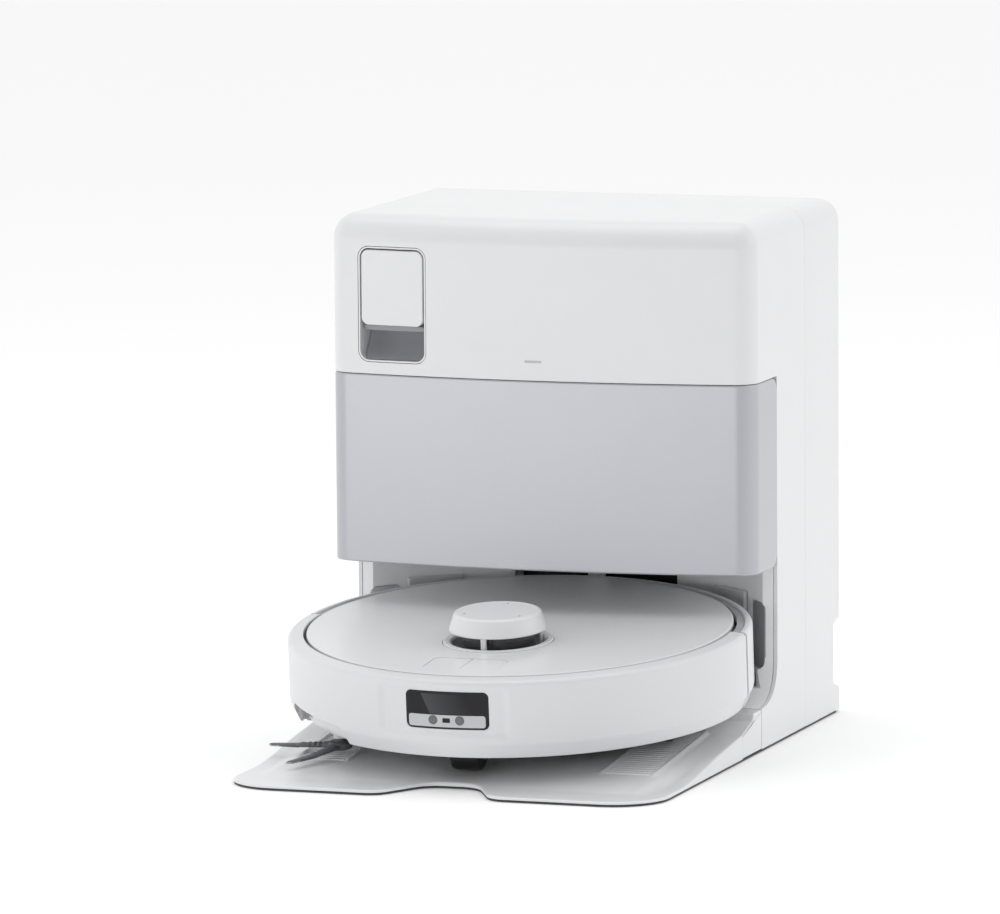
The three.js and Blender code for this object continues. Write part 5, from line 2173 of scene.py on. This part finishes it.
REFITS = (
    # The bay's shroud and back wall take the paler bay white: painted fill light.
    Refit("bay_shroud", "bay_white", "white_satin", 0.5),
    Refit("bay_back_wall", "bay_white", "white_satin", 0.6),
    Refit("signal_window", "black_plastic", "dark_window", 0.4),
    Refit("signal_bracket", "shell_white", "white_shell", 0.6, 3),
    Refit("floor_mat", "soft_rubber", "soft_rubber", 0.0),
    Refit("left_guide", "guide_grey", "graphite", 1.6, 4),
    Refit("right_guide", "guide_grey", "graphite", 1.6, 4),
    Refit("left_contact", "grey_pad", "graphite", 0.9, 3),
    Refit("right_contact", "grey_pad", "graphite", 0.9, 3),
    Refit("inner_frame", "pale_plastic", "pale_plastic", 0.5),
    Refit("bag_collar", "pale_plastic", "pale_plastic", 0.6),
    Refit("suction_fan", "graphite", "graphite", 0.7),
    Refit("wash_pump", "graphite", "graphite", 0.7),
    Refit("drying_fan", "graphite", "graphite", 0.7),
    Refit("status_light", "pale_plastic", "pale_plastic", 0.0),
    Refit("control_board", "circuit_green", "circuit_board", 0.0),
    Refit("power_inlet", "black_plastic", "graphite", 0.4),
    Refit("water_inlet", "brushed_steel", "fitting_metal", 0.3),
    Refit("drain_outlet", "graphite", "graphite", 0.3),
    Refit("wash_tray", "pale_plastic", "pale_plastic", 0.6),
    Refit("chassis", "satin_white", "pale_plastic", 0.4),
    Refit("upper_deck", "pale_plastic", "pale_plastic", 0.4),
    Refit("brush_guard", "grey_pad", "graphite", 0.6),
    Refit("side_brush_motor", "satin_white", "pale_plastic", 0.5),
    Refit("dustbin", "satin_white", "white_satin", 0.6),
    Refit("blower", "graphite", "graphite", 0.5),
    Refit("battery", "black_plastic", "graphite", 0.8),
    Refit("main_board", "circuit_green", "circuit_board", 0.0),
    Refit("left_suspension_arm", "graphite", "graphite", 0.4),
    Refit("right_suspension_arm", "graphite", "graphite", 0.4),
    Refit("caster_fork", "graphite", "graphite", 0.4),
    Refit("mop_carriage", "graphite", "graphite", 0.5),
)


# ---- the studio ----


@dataclass
class Studio:
    """The pale floor, the soft lights and the camera."""

    place: Corner = (2.0857, -6.1971, 1.0664)
    yaw: float = 18.84
    pitch: float = 7.34
    roll: float = 0.41
    lens: float = 311.7
    dark_turn: float = 24.0
    dark_rise: float = 8.0
    dark_spread: float = 66.0
    bright: float = 0.95
    dark: float = 0.24

    def camera(self) -> None:
        """The camera, at its viewing angle."""
        yaw, pitch, roll = (math.radians(angle) for angle in (self.yaw, self.pitch, self.roll))
        ahead = Vector((-math.sin(yaw) * math.cos(pitch), math.cos(yaw) * math.cos(pitch), -math.sin(pitch)))
        right = Vector((math.cos(yaw), math.sin(yaw), 0))
        down = ahead.cross(right)
        down = down if down.z < 0 else -down
        across = right * math.cos(roll) + down * math.sin(roll)
        below = down * math.cos(roll) - right * math.sin(roll)
        data = bpy.data.cameras.new("camera")
        data.lens, data.sensor_width, data.clip_end = self.lens, 36, 50
        seat = bpy.data.objects.new("camera", data)
        turn = Matrix((across, -below, -ahead)).transposed().to_4x4()
        seat.matrix_world = Matrix.Translation(Vector(self.place)) @ turn
        bpy.context.scene.collection.objects.link(seat)
        bpy.context.scene.camera = seat

    def light(self, name: str, place: Corner, size: Corner, power: float, aim: Corner = (0, 0, 0.2)) -> None:
        """A soft rectangular light that faces a point on the object.

        Args:
            name: the name.
            place: where it hangs.
            size: its sides.
            power: in watts.
            aim: what it faces.
        """
        data = bpy.data.lights.new(name, "AREA")
        data.shape, data.size, data.size_y, data.energy = "RECTANGLE", size[0], size[1], power
        lamp = bpy.data.objects.new(name, data)
        lamp.location = place
        lamp.rotation_euler = (Vector(aim) - Vector(place)).to_track_quat("-Z", "Y").to_euler()
        bpy.context.scene.collection.objects.link(lamp)

    def floor(self) -> None:
        """The plain pale floor."""
        bpy.ops.mesh.primitive_plane_add(size=60, location=(0, 0, -0.0004))
        floor = bpy.context.object
        floor.name = "studio_floor"
        nodes = Nodes("studio_floor")
        nodes.put(Base_Color=(0.93, 0.93, 0.93, 1), Roughness=0.8, Specular_IOR_Level=0.2,
                  Emission_Color=(1, 1, 1, 1), Emission_Strength=0.135)
        floor.data.materials.append(nodes.material)

    def build(self) -> None:
        """Everything round the object."""
        self.camera()
        self.floor()
        self.surroundings()
        bpy.context.scene.view_settings.view_transform = "Standard"
        self.light("key", (-0.3, 0.4, 2.8), (2.2, 1.8), 14)
        self.light("right", (2.8, 0.5, 1.6), (1.4, 1.6), 7)
        self.light("low", (-0.5, -1.7, 0.16), (2.6, 0.26), 3.6, (-0.03, -0.1, 0.05))

    def surroundings(self) -> None:
        """White all round, with a soft darker field before the object for its front to pick up."""
        world = bpy.data.worlds.new("studio_world")
        world.use_nodes = True
        tree = world.node_tree
        background = tree.nodes["Background"]
        direction = tree.nodes.new("ShaderNodeNewGeometry")
        facing = tree.nodes.new("ShaderNodeVectorMath")
        facing.operation = "DOT_PRODUCT"
        turn, rise = math.radians(self.dark_turn), math.radians(self.dark_rise)
        facing.inputs[1].default_value = (math.sin(turn) * math.cos(rise), -math.cos(turn) * math.cos(rise),
                                          math.sin(rise))
        tree.links.new(direction.outputs["Position"], facing.inputs[0])
        field = tree.nodes.new("ShaderNodeMapRange")
        field.interpolation_type = "SMOOTHSTEP"
        field.inputs["From Min"].default_value = math.cos(math.radians(self.dark_spread))
        field.inputs["To Min"].default_value, field.inputs["To Max"].default_value = self.bright, self.dark
        tree.links.new(facing.outputs["Value"], field.inputs["Value"])
        path = tree.nodes.new("ShaderNodeLightPath")
        seen = tree.nodes.new("ShaderNodeMix")
        seen.inputs["B"].default_value = 1.0
        tree.links.new(path.outputs["Is Camera Ray"], seen.inputs["Factor"])
        tree.links.new(field.outputs[0], seen.inputs["A"])
        tree.links.new(seen.outputs[0], background.inputs["Strength"])
        background.inputs["Color"].default_value = (1, 1, 1, 1)
        bpy.context.scene.world = world


def main() -> None:
    """Builds every piece in order."""
    logging.basicConfig(level=logging.INFO, format="%(message)s")
    Studio().build()
    tower, parking = Tower(), Parking()
    drawer = Drawer(tower)
    tower.front(drawer)
    tower.back()
    Panel(tower).build()
    drawer.build()
    Ramp(parking).build()
    Base(tower, parking).build()
    Bay(parking).build()
    DustBag().build()
    body, window = Body(parking), Window(parking)
    body.build(window)
    window.build()
    Turret(parking, body).build()
    Wheels(parking).build()
    Brushes(parking).build()
    Mops(parking).build()
    for refit in REFITS:
        refit.make()
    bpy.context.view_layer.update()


if __name__ == "__main__":
    main()
